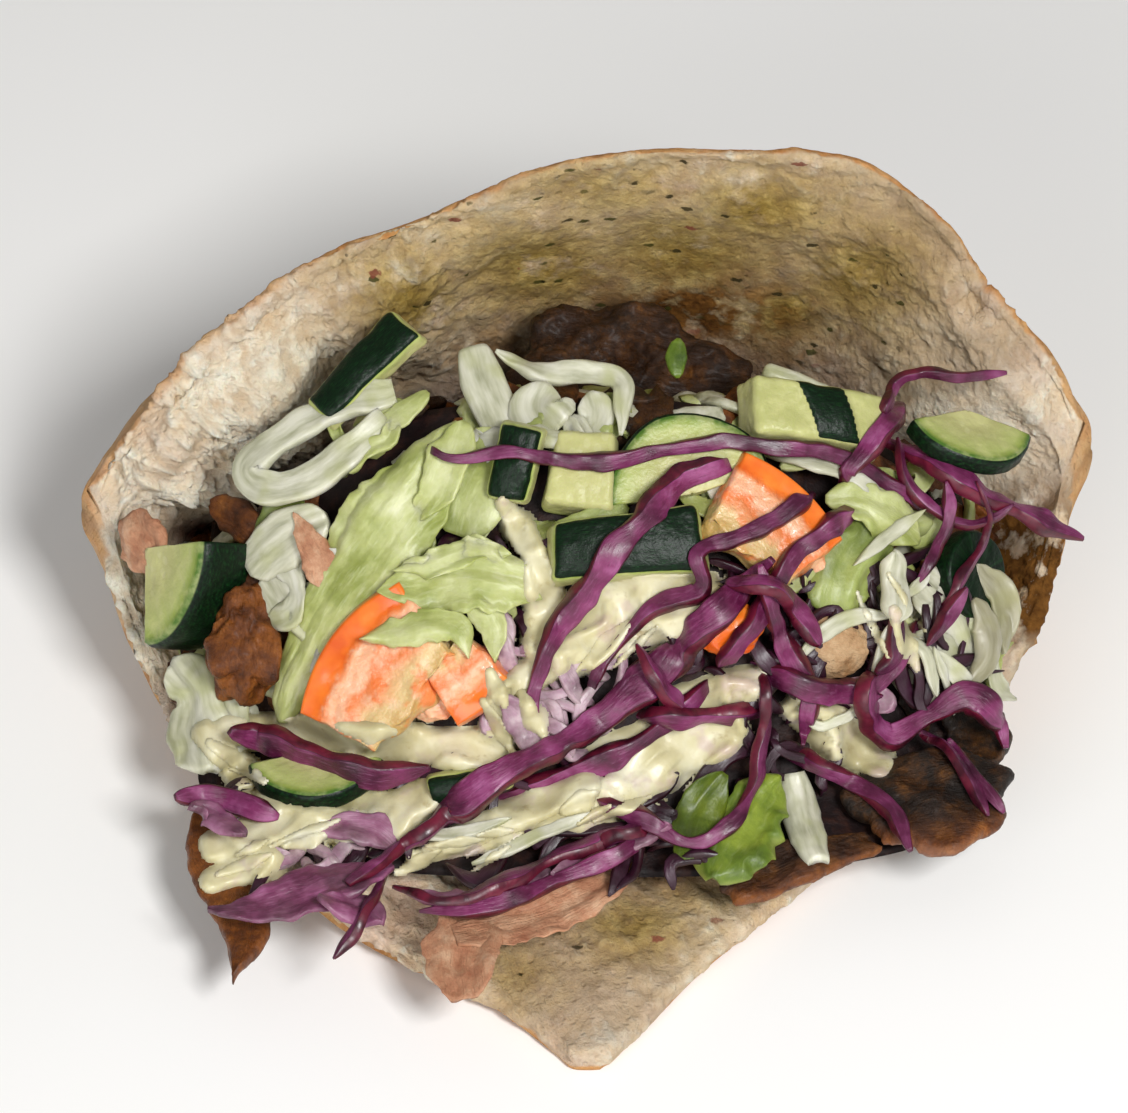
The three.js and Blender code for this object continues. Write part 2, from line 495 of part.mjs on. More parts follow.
// Shreds of red cabbage over the top, as routes of [a, b, lift] points.
const RED_CABBAGE = [
  { width: 3, route: [
    [-30, 28, -5], [-24, 25, 2], [-14, 26, 6], [2, 24, 3], [12, 26, 4], [25, 28, 3], [36, 27, 6],
    [47, 25, 5], [57, 19, 0], [64, 13, -5],
  ] },
  { width: 5, route: [
    [29, 24, -5], [18, 22, 4], [10, 14, 7], [2, 4, 6], [-5, -6, 3], [-9, -16, 1], [-9, -24, -5],
  ] },
  { width: 2.6, route: [[76, 41, 11], [68, 40, 9], [57, 40, 5], [54, 35, 0], [50, 28, -5]] },
  { width: 4.5, route: [[57, 35, -5], [53, 30, 1], [49, 25, 2], [46, 21, -5]] },
  { width: 5, route: [[52, 29, -5], [60, 26, 3], [66, 22, 9], [75, 17, 9], [90, 11, 13]] },
  { width: 6, route: [
    [-42, -50, 1], [-25, -39, 1], [-15, -31, 3], [-3, -25, 1], [7, -18, 1], [18, -8, 1], [26, 0, 4],
    [33, 7, 7],
  ] },
  { width: 9, route: [[-66, -55, 2], [-54, -50, 1.5], [-43, -49, 1], [-33, -46, -5]] },
  { width: 4.5, route: [[-17, -36, -5], [-3, -31, 0.5], [7, -27, 1.5], [17, -20, 1], [24, -13, -5]] },
  { width: 3.4, route: [
    [0, -18, -5], [4, -10, 1], [12, -2, 3.5], [21, 2, 3], [20, 8, 5], [30, 12, 9], [41, 19, -5],
  ] },
  { width: 4, route: [[51, 18, -5], [43, 12, 2], [37, 7, 4], [30, -4, 2], [23, -13, -5]] },
  { width: 3.6, route: [[31, 6, 6], [35, -7, 1.5], [40, -16, 1], [39, -26, -5]] },
  { width: 4.4, route: [[25, 3, 3], [34, 2, 5], [42, -8, 4]] },
  { width: 3.2, route: [
    [32, -8, -5], [32, -23, 1], [27, -39, 3], [19, -43, 0.5], [8, -38, 0.5], [-3, -34, -5],
  ] },
  { width: 4.6, route: [[9, -21, -5], [20, -21, 1], [34, -19, -5]] },
  { width: 4.6, route: [[60, -4, -5], [55, -12, 1.5], [50, -16, 1], [41, -16, 2], [29, -11, -5]] },
  { width: 6, route: [
    [51, -15, -5], [55, -25, 1.5], [61, -21, 2], [69, -18, 1], [75, -26, 2], [77, -37, 4],
  ] },
  { width: 3.4, route: [[34, -27, -5], [47, -32, 1], [54, -37, 3], [58, -45, 3]] },
  { width: 2, route: [[70, 21, 8], [73, 14, 6], [68, 4, 2], [61, -7, -5]] },
  { width: 5, route: [[-34, -51, -5], [-23, -53, 0.5], [-10, -48, 0.5], [3, -43, 0.5], [18, -39, -5]] },
  { width: 2.2, route: [[-44, -63, 1], [-38, -54, 0.5], [-34, -46, -5]] },
  { width: 4, route: [[9, -8, 1], [14, -16, 1], [20, -22, -5]] },
];

// Shreds of white cabbage and onion that show between them.
const WHITE_CABBAGE = [
  { width: 5, route: [[34, -10, -5], [47, -5, 2], [57, -3, 2], [65, -13, -5]] },
  { width: 4, route: [[62, -7, -5], [70, -13, 0.5], [76, -20, 1]] },
  { width: 4, route: [[32, 26, -5], [44, 22, 1], [55, 17, -5]] },
  { width: 3, route: [[-36, -40, -5], [-24, -42, 0.5], [-10, -38, -5]] },
];

// ---------------------------------------------------------------- assembly

const tidied = (solid) => largest(largest(solid).simplify(0.15));
const joined = (solids) => solids.reduce((sum, one) => sum.add(one));

// Gives how far above the filling's surface the toppings reach within a little of a, b.
function coverOver(toppings) {
  const meshes = toppings.map(([name, solid]) => meshOf(name, solid));
  const from = 60;
  return (a, b) => {
    const near = [[0, 0], [2, 0], [-2, 0], [0, 2], [0, -2]].map(([right, up]) => {
      const ray = new THREE.Raycaster(mouth(a + right, b + up, from), OUT.clone().negate());
      const hit = ray.intersectObjects(meshes)[0];
      return hit ? from - hit.distance : -99;
    });
    return max(...near) - restingOn(a, b);
  };
}

// The body of the filling fills the bread, each topping sits on it clear of those above, and the shreds
// drape over them all and are one with the body wherever they reach down to it.
function layPieces() {
  const bread = breadSolid(BREAD.acrossSteps, BREAD.alongSteps);
  const roughBread = breadSolid(BREAD.acrossSteps / 2, BREAD.alongSteps / 2);
  const body = largest(heapCore().subtract(inflated(roughBread, 4 * GAP)));
  const bodyRoom = inflated(body, GAP);
  let taken = inflated(bread, GAP);
  const toppings = TOPPINGS.map(({ name, make, of, at }) => {
    const whole = at ? placed(make(of), seat(at)) : make(of);
    const piece = tidied(whole.subtract(taken).subtract(bodyRoom));
    taken = taken.add(inflated(whole, GAP));
    return [name, piece];
  });
  const cover = coverOver(toppings);
  const shreds = joined([...RED_CABBAGE, ...WHITE_CABBAGE].map((of) => shred(of, cover)));
  const heap = tidied(body.add(shreds.subtract(taken)));
  return [["bread", bread], ["salad_heap", heap], ...toppings];
}

const kindOf = (name) => Object.keys(MATERIALS).find((kind) => name.startsWith(kind)) ?? "onion";

function meshOf(name, solid) {
  const { vertProperties, triVerts } = solid.getMesh();
  const geometry = new THREE.BufferGeometry()
    .setAttribute("position", new THREE.BufferAttribute(new Float32Array(vertProperties), 3))
    .setIndex(new THREE.BufferAttribute(new Uint32Array(triVerts), 1));
  geometry.computeVertexNormals();
  const mesh = new THREE.Mesh(geometry, MATERIALS[kindOf(name)]);
  mesh.name = name;
  return mesh;
}

const sandwich = new THREE.Group();
sandwich.name = "doner_kebab_sandwich";
sandwich.position.set(MOUTH_SHIFT[0], MOUTH_SHIFT[1], 0);
for (const [name, solid] of layPieces()) sandwich.add(meshOf(name, solid));

export default sandwich;
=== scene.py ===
"""Looks of the doner kebab sandwich: bread, filling, sauce, floor, light and camera.

Shapes are worked out in millimetres. What lies in the filling is placed in the mouth frame: across a to
the right, up b along the mouth and out h towards whoever looks into it, as in the part's source.
"""

import bpy
import numpy as np
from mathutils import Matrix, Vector
from mathutils.bvhtree import BVHTree

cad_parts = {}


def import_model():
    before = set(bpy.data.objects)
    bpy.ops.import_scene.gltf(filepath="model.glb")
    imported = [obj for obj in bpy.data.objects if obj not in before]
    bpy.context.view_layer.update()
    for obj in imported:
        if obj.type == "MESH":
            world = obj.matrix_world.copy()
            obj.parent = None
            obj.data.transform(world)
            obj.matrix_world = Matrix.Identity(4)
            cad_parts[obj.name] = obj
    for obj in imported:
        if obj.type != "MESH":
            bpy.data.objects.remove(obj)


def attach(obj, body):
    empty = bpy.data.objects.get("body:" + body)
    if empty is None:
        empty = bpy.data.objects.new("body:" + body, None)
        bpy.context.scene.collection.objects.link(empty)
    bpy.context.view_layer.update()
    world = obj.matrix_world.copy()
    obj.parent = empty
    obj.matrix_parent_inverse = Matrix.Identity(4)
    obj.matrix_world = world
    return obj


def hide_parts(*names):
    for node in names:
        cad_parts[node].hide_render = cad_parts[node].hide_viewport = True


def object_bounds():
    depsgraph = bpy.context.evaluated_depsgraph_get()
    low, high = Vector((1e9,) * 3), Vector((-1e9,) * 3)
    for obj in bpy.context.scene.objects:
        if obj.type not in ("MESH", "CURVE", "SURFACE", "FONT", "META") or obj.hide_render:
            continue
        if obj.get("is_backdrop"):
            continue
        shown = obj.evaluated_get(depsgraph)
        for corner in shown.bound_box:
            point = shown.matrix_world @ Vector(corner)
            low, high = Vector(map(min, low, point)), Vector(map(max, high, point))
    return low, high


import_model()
CAD_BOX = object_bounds()

# ------------------------------------------------------------------ driving dimensions, in millimetres

MM = 0.001
LEAN = np.pi / 4  # the mouth's plane leans back this far from facing up
MOUTH_ORIGIN = np.array([-0.5, -2.7, 45.0])
UP = np.array([0.0, np.sin(LEAN), np.cos(LEAN)])
OUT = np.array([0.0, -np.cos(LEAN), np.sin(LEAN)])
FAR = 70.0  # rays start this far out from the mouth frame's origin

BREAD = dict(floor=8.5, lower_rim=6.5, upper_rim=10.0, middle=10.0, tuft=10.5, pad=11.0, hollow=5.0,
             rounding=1.6, wobble=1.3, bent_up=6.5, bent_down=1.5, crust=0.9)
HEAP = dict(half_width=72.0, crown=8.0, side_fall=22.0, front_fall=7.0, front_reach=40.0, middle=-5.0,
            shelf=19.0, blend=4.0, underside=8.0, depth=75.0, front=-49.5, back=36.0, hollow=15.0, bed=4.2,
            clear_of_fold=9.0)
TOMATO_RADIUS = 30.0
EASE = 0.7  # how near the CAD box's sides points begin to be held back
CAMERA_REACH = 1500.0  # from the camera to the plane that stands PLANE_OUT before the mouth's origin
PLANE_OUT = 25.0
FRAME_WIDTH = 198.1  # how much of that plane the picture is wide
AIM = (-3.7, 7.6)
SENSOR = 36.0
LAMPS_AIM = (0.0, 0.0, 0.04)  # metres
FLOOR_REACH = 3.0  # metres
FLOOR_GRAIN = 300.0
WORLD_LIGHT = 0.22
FAR_CLIP = 20.0  # metres
PADDING = dict(count=200, seed=31, backward=0.45, sideways=0.6, above=18.0)
NOTHING = -99.0  # the height found where nothing lies
SCRAMBLE = (374761393, 668265263, 1440662683, 977)  # they turn a cell of noise into a number

# ------------------------------------------------------------------ small maths


def smooth(x, low, high):
    t = np.clip((np.asarray(x, float) - low) / (high - low), 0, 1)
    return t * t * (3 - 2 * t)


def lerp(a, b, t):
    return a + (b - a) * t


def unit(v):
    return v / np.maximum(np.linalg.norm(v, axis=-1, keepdims=True), 1e-9)


def from_mouth(points):
    """Points a, b, h of the mouth frame in the row frame."""
    a, b, h = points[..., 0:1], points[..., 1:2], points[..., 2:3]
    return MOUTH_ORIGIN + a * np.array([1.0, 0, 0]) + b * UP + h * OUT


def to_mouth(points):
    """Points of the row frame in the mouth frame."""
    p = points - MOUTH_ORIGIN
    return np.stack([p[..., 0], p @ UP, p @ OUT], -1)


def uneven(p, size, seed=0.0):
    """A smooth unevenness between -1 and 1; size is the width of its lumps."""
    u, v, w = p[..., 0] / size, p[..., 1] / size, p[..., 2] / size
    first = np.sin(2.1 * u + 1.3 * np.sin(1.7 * v + seed) + seed) * np.sin(1.9 * v + w + 2 * seed)
    second = np.sin(3.7 * v + 2.3 * w - seed) * np.sin(4.1 * u - 1.1 * w + 3 * seed)
    return 0.65 * first + 0.35 * second


def noise(p, size, seed=0):
    """Gradient noise, about -1 to 1, with lumps as wide as size (a number or one for each axis)."""
    q = p / np.asarray(size, float) + 31.7 * seed
    cell = np.floor(q).astype(np.int64)
    f = q - cell
    fade = f * f * f * (f * (f * 6 - 15) + 10)
    total = np.zeros(q.shape[:-1])
    for corner in np.ndindex(2, 2, 2):
        x, y, z = (cell[..., k] + corner[k] for k in range(3))
        mixed = sum(part * by for part, by in zip((x, y, z, seed), SCRAMBLE)) & 0xFFFFFFFF
        mixed = ((mixed ^ (mixed >> 13)) * 1274126177) & 0xFFFFFFFF
        mixed = mixed ^ (mixed >> 16)
        slope = [((mixed >> (9 * k)) & 511) / 255.5 - 1 for k in range(3)]
        dot = sum(slope[k] * (f[..., k] - corner[k]) for k in range(3))
        weight = np.prod([fade[..., k] if corner[k] else 1 - fade[..., k] for k in range(3)], axis=0)
        total += weight * dot
    return 1.25 * total


def layered(p, size, layers=4, seed=0, keep=0.5):
    """Noise with finer noise on it; each layer is half as wide and keeps that share of the height."""
    size = np.asarray(size, float)
    return sum(noise(p, size / 2**i, seed + i) * keep**i for i in range(layers)) / 1.4


def puffs(p, size, layers=3, seed=0, rounding=0.0):
    """Rounded lumps with creases between them, 0 in the creases to about 1."""
    size = np.asarray(size, float)
    bare = (noise(p, size / 2**i, seed + i) for i in range(layers))
    return sum((np.sqrt(n**2 + rounding**2) - rounding) / 1.7**i for i, n in enumerate(bare)) * 1.1


def catmull(points, t):
    """A centripetal Catmull-Rom curve; t runs evenly over its spans."""
    points = np.asarray(points, float)
    spans = points.shape[-2] - 1
    s = np.clip(t, 0, 1) * spans
    i = np.minimum(s.astype(int), spans - 1)
    w = (s - i)[..., None]
    before = 2 * points[..., :1, :] - points[..., 1:2, :]
    after = 2 * points[..., -1:, :] - points[..., -2:-1, :]
    padded = np.concatenate([before, points, after], -2)
    p0, p1, p2, p3 = (padded[..., i + k, :] for k in range(4))
    d0, d1, d2 = (np.maximum(np.linalg.norm(q - p, axis=-1, keepdims=True) ** 0.5, 1e-4)
                  for p, q in ((p0, p1), (p1, p2), (p2, p3)))
    start = ((p1 - p0) / d0 - (p2 - p0) / (d0 + d1) + (p2 - p1) / d1) * d1
    end = ((p2 - p1) / d1 - (p3 - p1) / (d1 + d2) + (p3 - p2) / d2) * d1
    return (p1 + start * w + (3 * (p2 - p1) - 2 * start - end) * w**2
            + (2 * (p1 - p2) + start + end) * w**3)


class Route:
    """A smooth curve through points, measured along its length."""

    def __init__(self, points, divisions=200):
        self.points = np.asarray(points, float)
        self.t = np.linspace(0, 1, divisions + 1)
        steps = np.linalg.norm(np.diff(catmull(self.points, self.t), axis=0), axis=1)
        self.reached = np.concatenate([[0], np.cumsum(steps)])
        self.length = self.reached[-1]

    def at(self, share):
        return catmull(self.points, np.interp(np.asarray(share) * self.length, self.reached, self.t))


# ------------------------------------------------------------------ meshes


def grid_faces(rows, columns, wrap=False, start=0, flip=False):
    """Four-sided faces over rows x columns points, joined round where wrap is set."""
    i = np.arange(rows - 1)[:, None]
    j = np.arange(columns if wrap else columns - 1)[None, :]
    k = (j + 1) % columns
    quads = np.stack([i * columns + j, i * columns + k, (i + 1) * columns + k, (i + 1) * columns + j], -1)
    quads = quads.reshape(-1, 4) + start
    return quads[:, ::-1] if flip else quads


def quads_of(ids):
    """The four points of each cell of a grid of numbered points."""
    return np.stack([ids[:-1, :-1], ids[1:, :-1], ids[1:, 1:], ids[:-1, 1:]], -1)


def block(across, along, deep):
    """The surface of a box from -1 to 1 each way, split into steps, and its faces."""
    counts = np.array([across, along, deep]) + 1
    ids = -np.ones(counts, int)
    lattice = np.stack(np.meshgrid(*[np.arange(c) for c in counts], indexing="ij"), -1)
    shell = np.any((lattice == 0) | (lattice == counts - 1), -1)
    ids[shell] = np.arange(shell.sum())
    points = lattice[shell] / (counts - 1) * 2.0 - 1
    faces = []
    for axis in range(3):
        for end in (0, -1):
            side = np.take(ids, end, axis)
            quads = quads_of(side).reshape(-1, 4)
            faces.append(quads if (end == -1) != (axis == 1) else quads[:, ::-1])
    return points, np.concatenate(faces)


def plate(rings, spokes):
    """A round plate with both faces split alike: share from its middle, angle, side and the faces."""
    share = np.concatenate([[0], np.repeat(np.arange(1, rings + 1) / rings, spokes)])
    angle = np.concatenate([[0], np.tile(np.arange(spokes) * 2 * np.pi / spokes, rings)])
    count = len(share)
    ring = grid_faces(rings, spokes, wrap=True, start=1, flip=True)
    hub = np.array([[0, 1 + k, 1 + (k + 1) % spokes] for k in range(spokes)])
    last = 1 + (rings - 1) * spokes + np.arange(spokes)
    nextly = np.roll(last, -1)
    rim = np.stack([last, last + count, nextly + count, nextly], -1)
    faces = [f.tolist() for f in (ring, ring[:, ::-1] + count, hub, hub[:, ::-1] + count, rim)]
    side = np.repeat([1.0, -1.0], count)
    return np.tile(share, 2), np.tile(angle, 2), side, sum(faces, [])


def normals_of(points, faces):
    """Each point's outward direction."""
    quads = np.array([[f[k * len(f) // 4] for k in range(4)] if len(f) > 3 else [*f, f[-1]] for f in faces])
    a, b, c, d = (points[quads[:, k]] for k in range(4))
    across = np.cross(c - a, d - b)
    across = np.where(np.linalg.norm(across, axis=1, keepdims=True) < 1e-12, np.cross(b - a, c - a), across)
    total = np.zeros_like(points)
    for k in range(4):
        np.add.at(total, quads[:, k], across)
    return unit(total)


def swollen(points, faces, by):
    return points + normals_of(points, faces) * by[:, None]


def kept_inside(points):
    """Points eased back into the CAD box where they would reach out of it."""
    lo, hi = (np.array(corner) / MM for corner in CAD_BOX)
    near = EASE * np.exp(np.minimum(0, points - lo - EASE) / EASE)
    eased = np.where(points < lo + EASE, lo + near, points)
    near = EASE * np.exp(np.minimum(0, hi - EASE - points) / EASE)
    eased = np.where(points > hi - EASE, hi - near, eased)
    eased[:, 2] = np.where(points[:, 2] < EASE, np.maximum(points[:, 2], lo[2]), eased[:, 2])
    return eased


def linked(name, data):
    """A new object of the scene."""
    made = bpy.data.objects.new(name, data)
    bpy.context.scene.collection.objects.link(made)
    return made


class Piece:
    """Points, faces and named values of what becomes one Blender object."""

    def __init__(self):
        self.points, self.faces, self.values, self.count = [], [], {}, 0

    def add(self, points, faces, **values):
        faces = [list(f) for f in (faces.tolist() if hasattr(faces, "tolist") else faces)]
        self.faces += [[i + self.count for i in f] for f in faces]
        self.points.append(np.asarray(points))
        for name, value in values.items():
            self.values.setdefault(name, []).append((self.count, np.broadcast_to(value, len(points))))
        self.count += len(points)
        return self

    def make(self, name, finish, slot="salad", nodes=("salad_heap",), in_mouth=True):
        points = np.concatenate(self.points)
        points = kept_inside(from_mouth(points) if in_mouth else points)
        mesh = bpy.data.meshes.new(name)
        mesh.from_pydata((points * MM).tolist(), [], self.faces)
        for key, parts in self.values.items():
            data = np.zeros(self.count, np.float32)
            for start, value in parts:
                data[start : start + len(value)] = value
            mesh.attributes.new(key, "FLOAT", "POINT").data.foreach_set("value", data)
        mesh.validate()
        mesh.shade_smooth()
        mesh.materials.append(FINISHES[finish])
        made = linked(name, mesh)
        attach(made, "root")
        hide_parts(*nodes)


# ------------------------------------------------------------------ the filling's surface


def heap_top(a, b):
    """How far out the filling bulges, highest in its middle."""
    fall = HEAP["side_fall"] * (a / HEAP["half_width"]) ** 2
    return HEAP["crown"] - fall - HEAP["front_fall"] * ((b - HEAP["middle"]) / HEAP["front_reach"]) ** 2


def resting_on(a, b):
    """How far out the filling's surface stands, no lower than a shelf at the lower flap's rim."""
    top = heap_top(a, b)
    shelf = (HEAP["shelf"] - MOUTH_ORIGIN[2]) / np.sin(LEAN) - b
    return (top + shelf + np.sqrt((top - shelf) ** 2 + HEAP["blend"] ** 2)) / 2


def outward(a, b):
    """Which way the filling's surface faces."""
    slope_a = (resting_on(a + 1, b) - resting_on(a - 1, b)) / 2
    slope_b = (resting_on(a, b + 1) - resting_on(a, b - 1)) / 2
    return unit(np.stack([-slope_a, -slope_b, np.ones_like(slope_a)], -1))


def turned(tip, roll, turn):
    """A rotation about x by tip, then about y by roll, then about z by turn, in degrees."""
    (ct, cr, cu), (st, sr, su) = (f(np.radians([tip, roll, turn])) for f in (np.cos, np.sin))
    about_x = np.array([[1, 0, 0], [0, ct, -st], [0, st, ct]])
    about_y = np.array([[cr, 0, sr], [0, 1, 0], [-sr, 0, cr]])
    about_z = np.array([[cu, -su, 0], [su, cu, 0], [0, 0, 1]])
    return about_z @ about_y @ about_x


def seated(points, a, b, lift=0.0, turn=0.0, tip=0.0, roll=0.0):
    """Points of a piece's own frame, seated on the filling at a, b."""
    a, b = float(a), float(b)
    normal = outward(np.array(a), np.array(b))
    right = unit(np.array([1.0, 0, 0]) - normal * normal[0])
    basis = np.stack([right, np.cross(normal, right), normal], -1) @ turned(tip, roll, turn)
    return points @ basis.T + np.array([a, b, resting_on(a, b)]) + normal * lift


# ------------------------------------------------------------------ materials


def linear(red, green, blue):
    """A colour as seen, 0 to 255 each, as the linear numbers a shader takes."""
    c = np.array([red, green, blue]) / 255
    return tuple(np.where(c <= 0.04045, c / 12.92, ((c + 0.055) / 1.055) ** 2.4)) + (1.0,)


class Finish:
    """A material's node tree, built by short calls. Sizes and depths are in millimetres."""

    def __init__(self, name, roughness=0.5, **sockets):
        self.material = bpy.data.materials.new(name)
        self.material.use_nodes = True
        self.tree = self.material.node_tree
        self.shader = self.tree.nodes["Principled BSDF"]
        self.shader.inputs["Roughness"].default_value = roughness
        for key, value in sockets.items():
            self.shader.inputs[key.replace("_", " ")].default_value = value
        self.place = self.node("ShaderNodeTexCoord").outputs["Object"]  # metres, then millimetres
        self.place = self.scaled(1 / MM, 1 / MM, 1 / MM)

    def node(self, kind, **settings):
        made = self.tree.nodes.new(kind)
        for key, value in settings.items():
            setattr(made, key, value)
        return made

    def put(self, socket, value):
        if isinstance(value, bpy.types.NodeSocket):
            self.tree.links.new(value, socket)
        else:
            socket.default_value = value

    def value(self, name):
        """What the mesh says at each point under that name."""
        return self.node("ShaderNodeAttribute", attribute_name=name).outputs["Fac"]

    def scaled(self, x=1.0, y=1.0, z=1.0):
        made = self.node("ShaderNodeMapping")
        self.put(made.inputs["Vector"], self.place)
        made.inputs["Scale"].default_value = (x, y, z)
        return made.outputs["Vector"]

    def noise(self, size, detail=3.0, rough=0.55, at=None):
        made = self.node("ShaderNodeTexNoise")
        self.put(made.inputs["Vector"], at or self.place)
        for key, number in zip(("Scale", "Detail", "Roughness"), (1 / size, detail, rough)):
            made.inputs[key].default_value = number
        return made.outputs["Fac"]

    def fibres(self, size, detail, rough, lot=True):
        """Noise drawn out along a piece; each lot of the same finish has its own."""
        made = self.node("ShaderNodeCombineXYZ")
        values = [self.value("along"), self.value("across"), self.value("lot") if lot else 0.0]
        for socket, value in zip(made.inputs, values):
            self.put(socket, value)
        return self.noise(size, detail, rough, made.outputs["Vector"])

    def cells(self, size, x=1.0, y=1.0, z=1.0):
        """Scattered cells: their Distance grows from the middle, and Color is a chance number for each."""
        made = self.node("ShaderNodeTexVoronoi")
        self.put(made.inputs["Vector"], self.scaled(x, y, z))
        made.inputs["Scale"].default_value = 1 / size
        return made.outputs

    def maths(self, operation, a, b):
        made = self.node("ShaderNodeMath", operation=operation)
        for socket, value in zip(made.inputs, (a, b)):
            self.put(socket, value)
        return made.outputs[0]

    def times(self, a, b):
        return self.maths("MULTIPLY", a, b)

    def shaken(self, value, by, *noise):
        """A value made uneven by noise."""
        return self.maths("ADD", value, self.times(self.maths("SUBTRACT", self.noise(*noise), 0.5), by))

    def steps(self, value, low, high, to=(0.0, 1.0)):
        made = self.node("ShaderNodeMapRange", interpolation_type="SMOOTHSTEP")
        self.put(made.inputs["Value"], value)
        for key, number in zip(("From Min", "From Max", "To Min", "To Max"), (low, high, *to)):
            made.inputs[key].default_value = number
        return made.outputs["Result"]

    def ramp(self, value, *stops):
        """Colours along a value: each stop is a place and the colour seen there."""
        made = self.node("ShaderNodeValToRGB")
        elements = made.color_ramp.elements
        while len(elements) < len(stops):
            elements.new(0.5)
        for element, (place, colour) in zip(elements, stops):
            element.position = place
            element.color = linear(*colour)
        self.put(made.inputs["Fac"], value)
        return made.outputs["Color"]

    def mix(self, share, a, b):
        made = self.node("ShaderNodeMix", data_type="RGBA")
        self.put(made.inputs[0], share)
        for socket, value in ((made.inputs[6], a), (made.inputs[7], b)):
            self.put(socket, linear(*value) if isinstance(value, tuple) else value)
        return made.outputs[2]

    def tinted(self, colour, *tints):
        """A colour with others mixed in: each has a value, its start and end, its most and its colour."""
        for value, low, high, most, over in tints:
            colour = self.mix(self.steps(value, low, high, (0.0, most)), colour, over)
        return colour

    def bump(self, height, depth, strength=1.0):
        """Relief, on top of any before it."""
        made = self.node("ShaderNodeBump")
        made.inputs["Strength"].default_value = strength
        made.inputs["Distance"].default_value = depth * MM
        self.put(made.inputs["Height"], height)
        earlier = self.shader.inputs["Normal"].links
        if earlier:
            self.put(made.inputs["Normal"], earlier[0].from_socket)
        self.put(self.shader.inputs["Normal"], made.outputs["Normal"])

    def done(self, colour, roughness=None):
        self.put(self.shader.inputs["Base Color"], colour)
        if roughness is not None:
            self.put(self.shader.inputs["Roughness"], roughness)
        return self.material


def soft(weight, reach, colour):
    """Sockets that let light into a surface for about so many millimetres."""
    return dict(Subsurface_Weight=weight, Subsurface_Radius=colour, Subsurface_Scale=reach * MM)


def coat(weight, roughness):
    return dict(Coat_Weight=weight, Coat_Roughness=roughness)


def crumb_colour(f, patchy):
    """Torn crumb, with what has soaked into it, and painted light and shade on its lumps, creases and hollows.
    """
    speckle, raised = f.noise(1.8, 4.0, 0.7), f.value("raised")
    crumb = f.ramp(f.noise(7.0, 5.0, 0.65), (0.35, (234, 206, 170)), (0.5, (248, 226, 193)),
                   (0.66, (255, 243, 217)))
    rosy = f.ramp(f.noise(3.0, 4.0), (0.35, (216, 187, 163)), (0.65, (236, 212, 190)))
    # fresh: whiter torn crumb, also laid where the wall lies in shade to paint it lighter: real colour and
    # painted light
    fresh = f.ramp(f.noise(3.5, 4.0, 0.6), (0.3, (255, 238, 207)), (0.6, (255, 252, 234)))
    crumb = f.mix(f.value("fresh"), f.tinted(crumb, (f.noise(14.0, 3.0), 0.42, 0.62, 1.0, rosy)), fresh)
    # speckle is the crumb's own grain; raised paints the tops of the lumps lighter and the low places between
    # them darker, and the crease values paint the creases and the hollow darker: painted light and painted shade
    crumb = f.tinted(crumb, (speckle, 0.5, 0.72, 0.35, (252, 240, 218)),
                     (speckle, 0.48, 0.3, 0.18, (194, 160, 120)),
                     (raised, 0.5, 0.1, 0.28, (202, 160, 112)),
                     (raised, 0.5, 0.9, 0.75, (255, 250, 232)),
                     (f.value("crease_shade"), 0.1, 1.0, 0.4, (176, 134, 86)))
    # painted shade: the crumb turned a darker beige where the pocket's wall and tip lie in shade
    painted_shade = f.times(f.value("painted_shade"), f.steps(f.noise(6.0, 4.0), 0.2, 0.6, (0.5, 0.95)))
    crumb = f.mix(painted_shade, crumb, f.ramp(f.noise(3.0, 4.0), (0.35, (158, 134, 106)), (0.65, (196, 170, 140))))
    # sauce that soaked in, with chopped herbs and a few specks of chilli
    soaked = f.ramp(f.noise(3.4, 5.0, 0.62), (0.3, (116, 90, 28)), (0.5, (158, 130, 54)),
                    (0.7, (198, 170, 94)))
    crumb = f.mix(f.times(patchy, 0.95), crumb, soaked)
    brown = f.times(f.value("juice"), f.steps(f.noise(5.0, 4.0), 0.3, 0.56))
    fried = f.ramp(f.noise(2.5, 4.0), (0.3, (74, 42, 14)), (0.7, (140, 94, 42)))
    crumb = f.mix(f.times(brown, 0.9), crumb, fried)
    # painted shade: near-black brown in the hollow under the tuft and at the back under the filling, where the
    # pocket lies in shade
    deep = f.ramp(f.noise(3.0, 4.0), (0.35, (34, 20, 14)), (0.7, (84, 40, 24)))
    crumb = f.mix(f.value("dark"), crumb, deep)
    for size, reach, colour in ((3.4, 0.2, (66, 66, 24)), (5.5, 0.16, (136, 74, 58)),
                                (4.4, 0.15, (44, 40, 18))):
        crumb = f.mix(herbs(f, size, reach), crumb, colour)
    return crumb


def herbs(f, size, reach):
    """Where chopped herbs or specks of chilli stick."""
    fleck = f.cells(size, 0.5)
    bent = f.shaken(fleck["Distance"], 0.3, 1.5)
    chosen = f.steps(fleck["Color"], 0.56, 0.6)
    seen = f.times(f.steps(bent, reach, reach * 0.6), f.steps(f.value("stain"), 0.15, 0.5))
    return f.times(seen, f.times(chosen, 0.9))


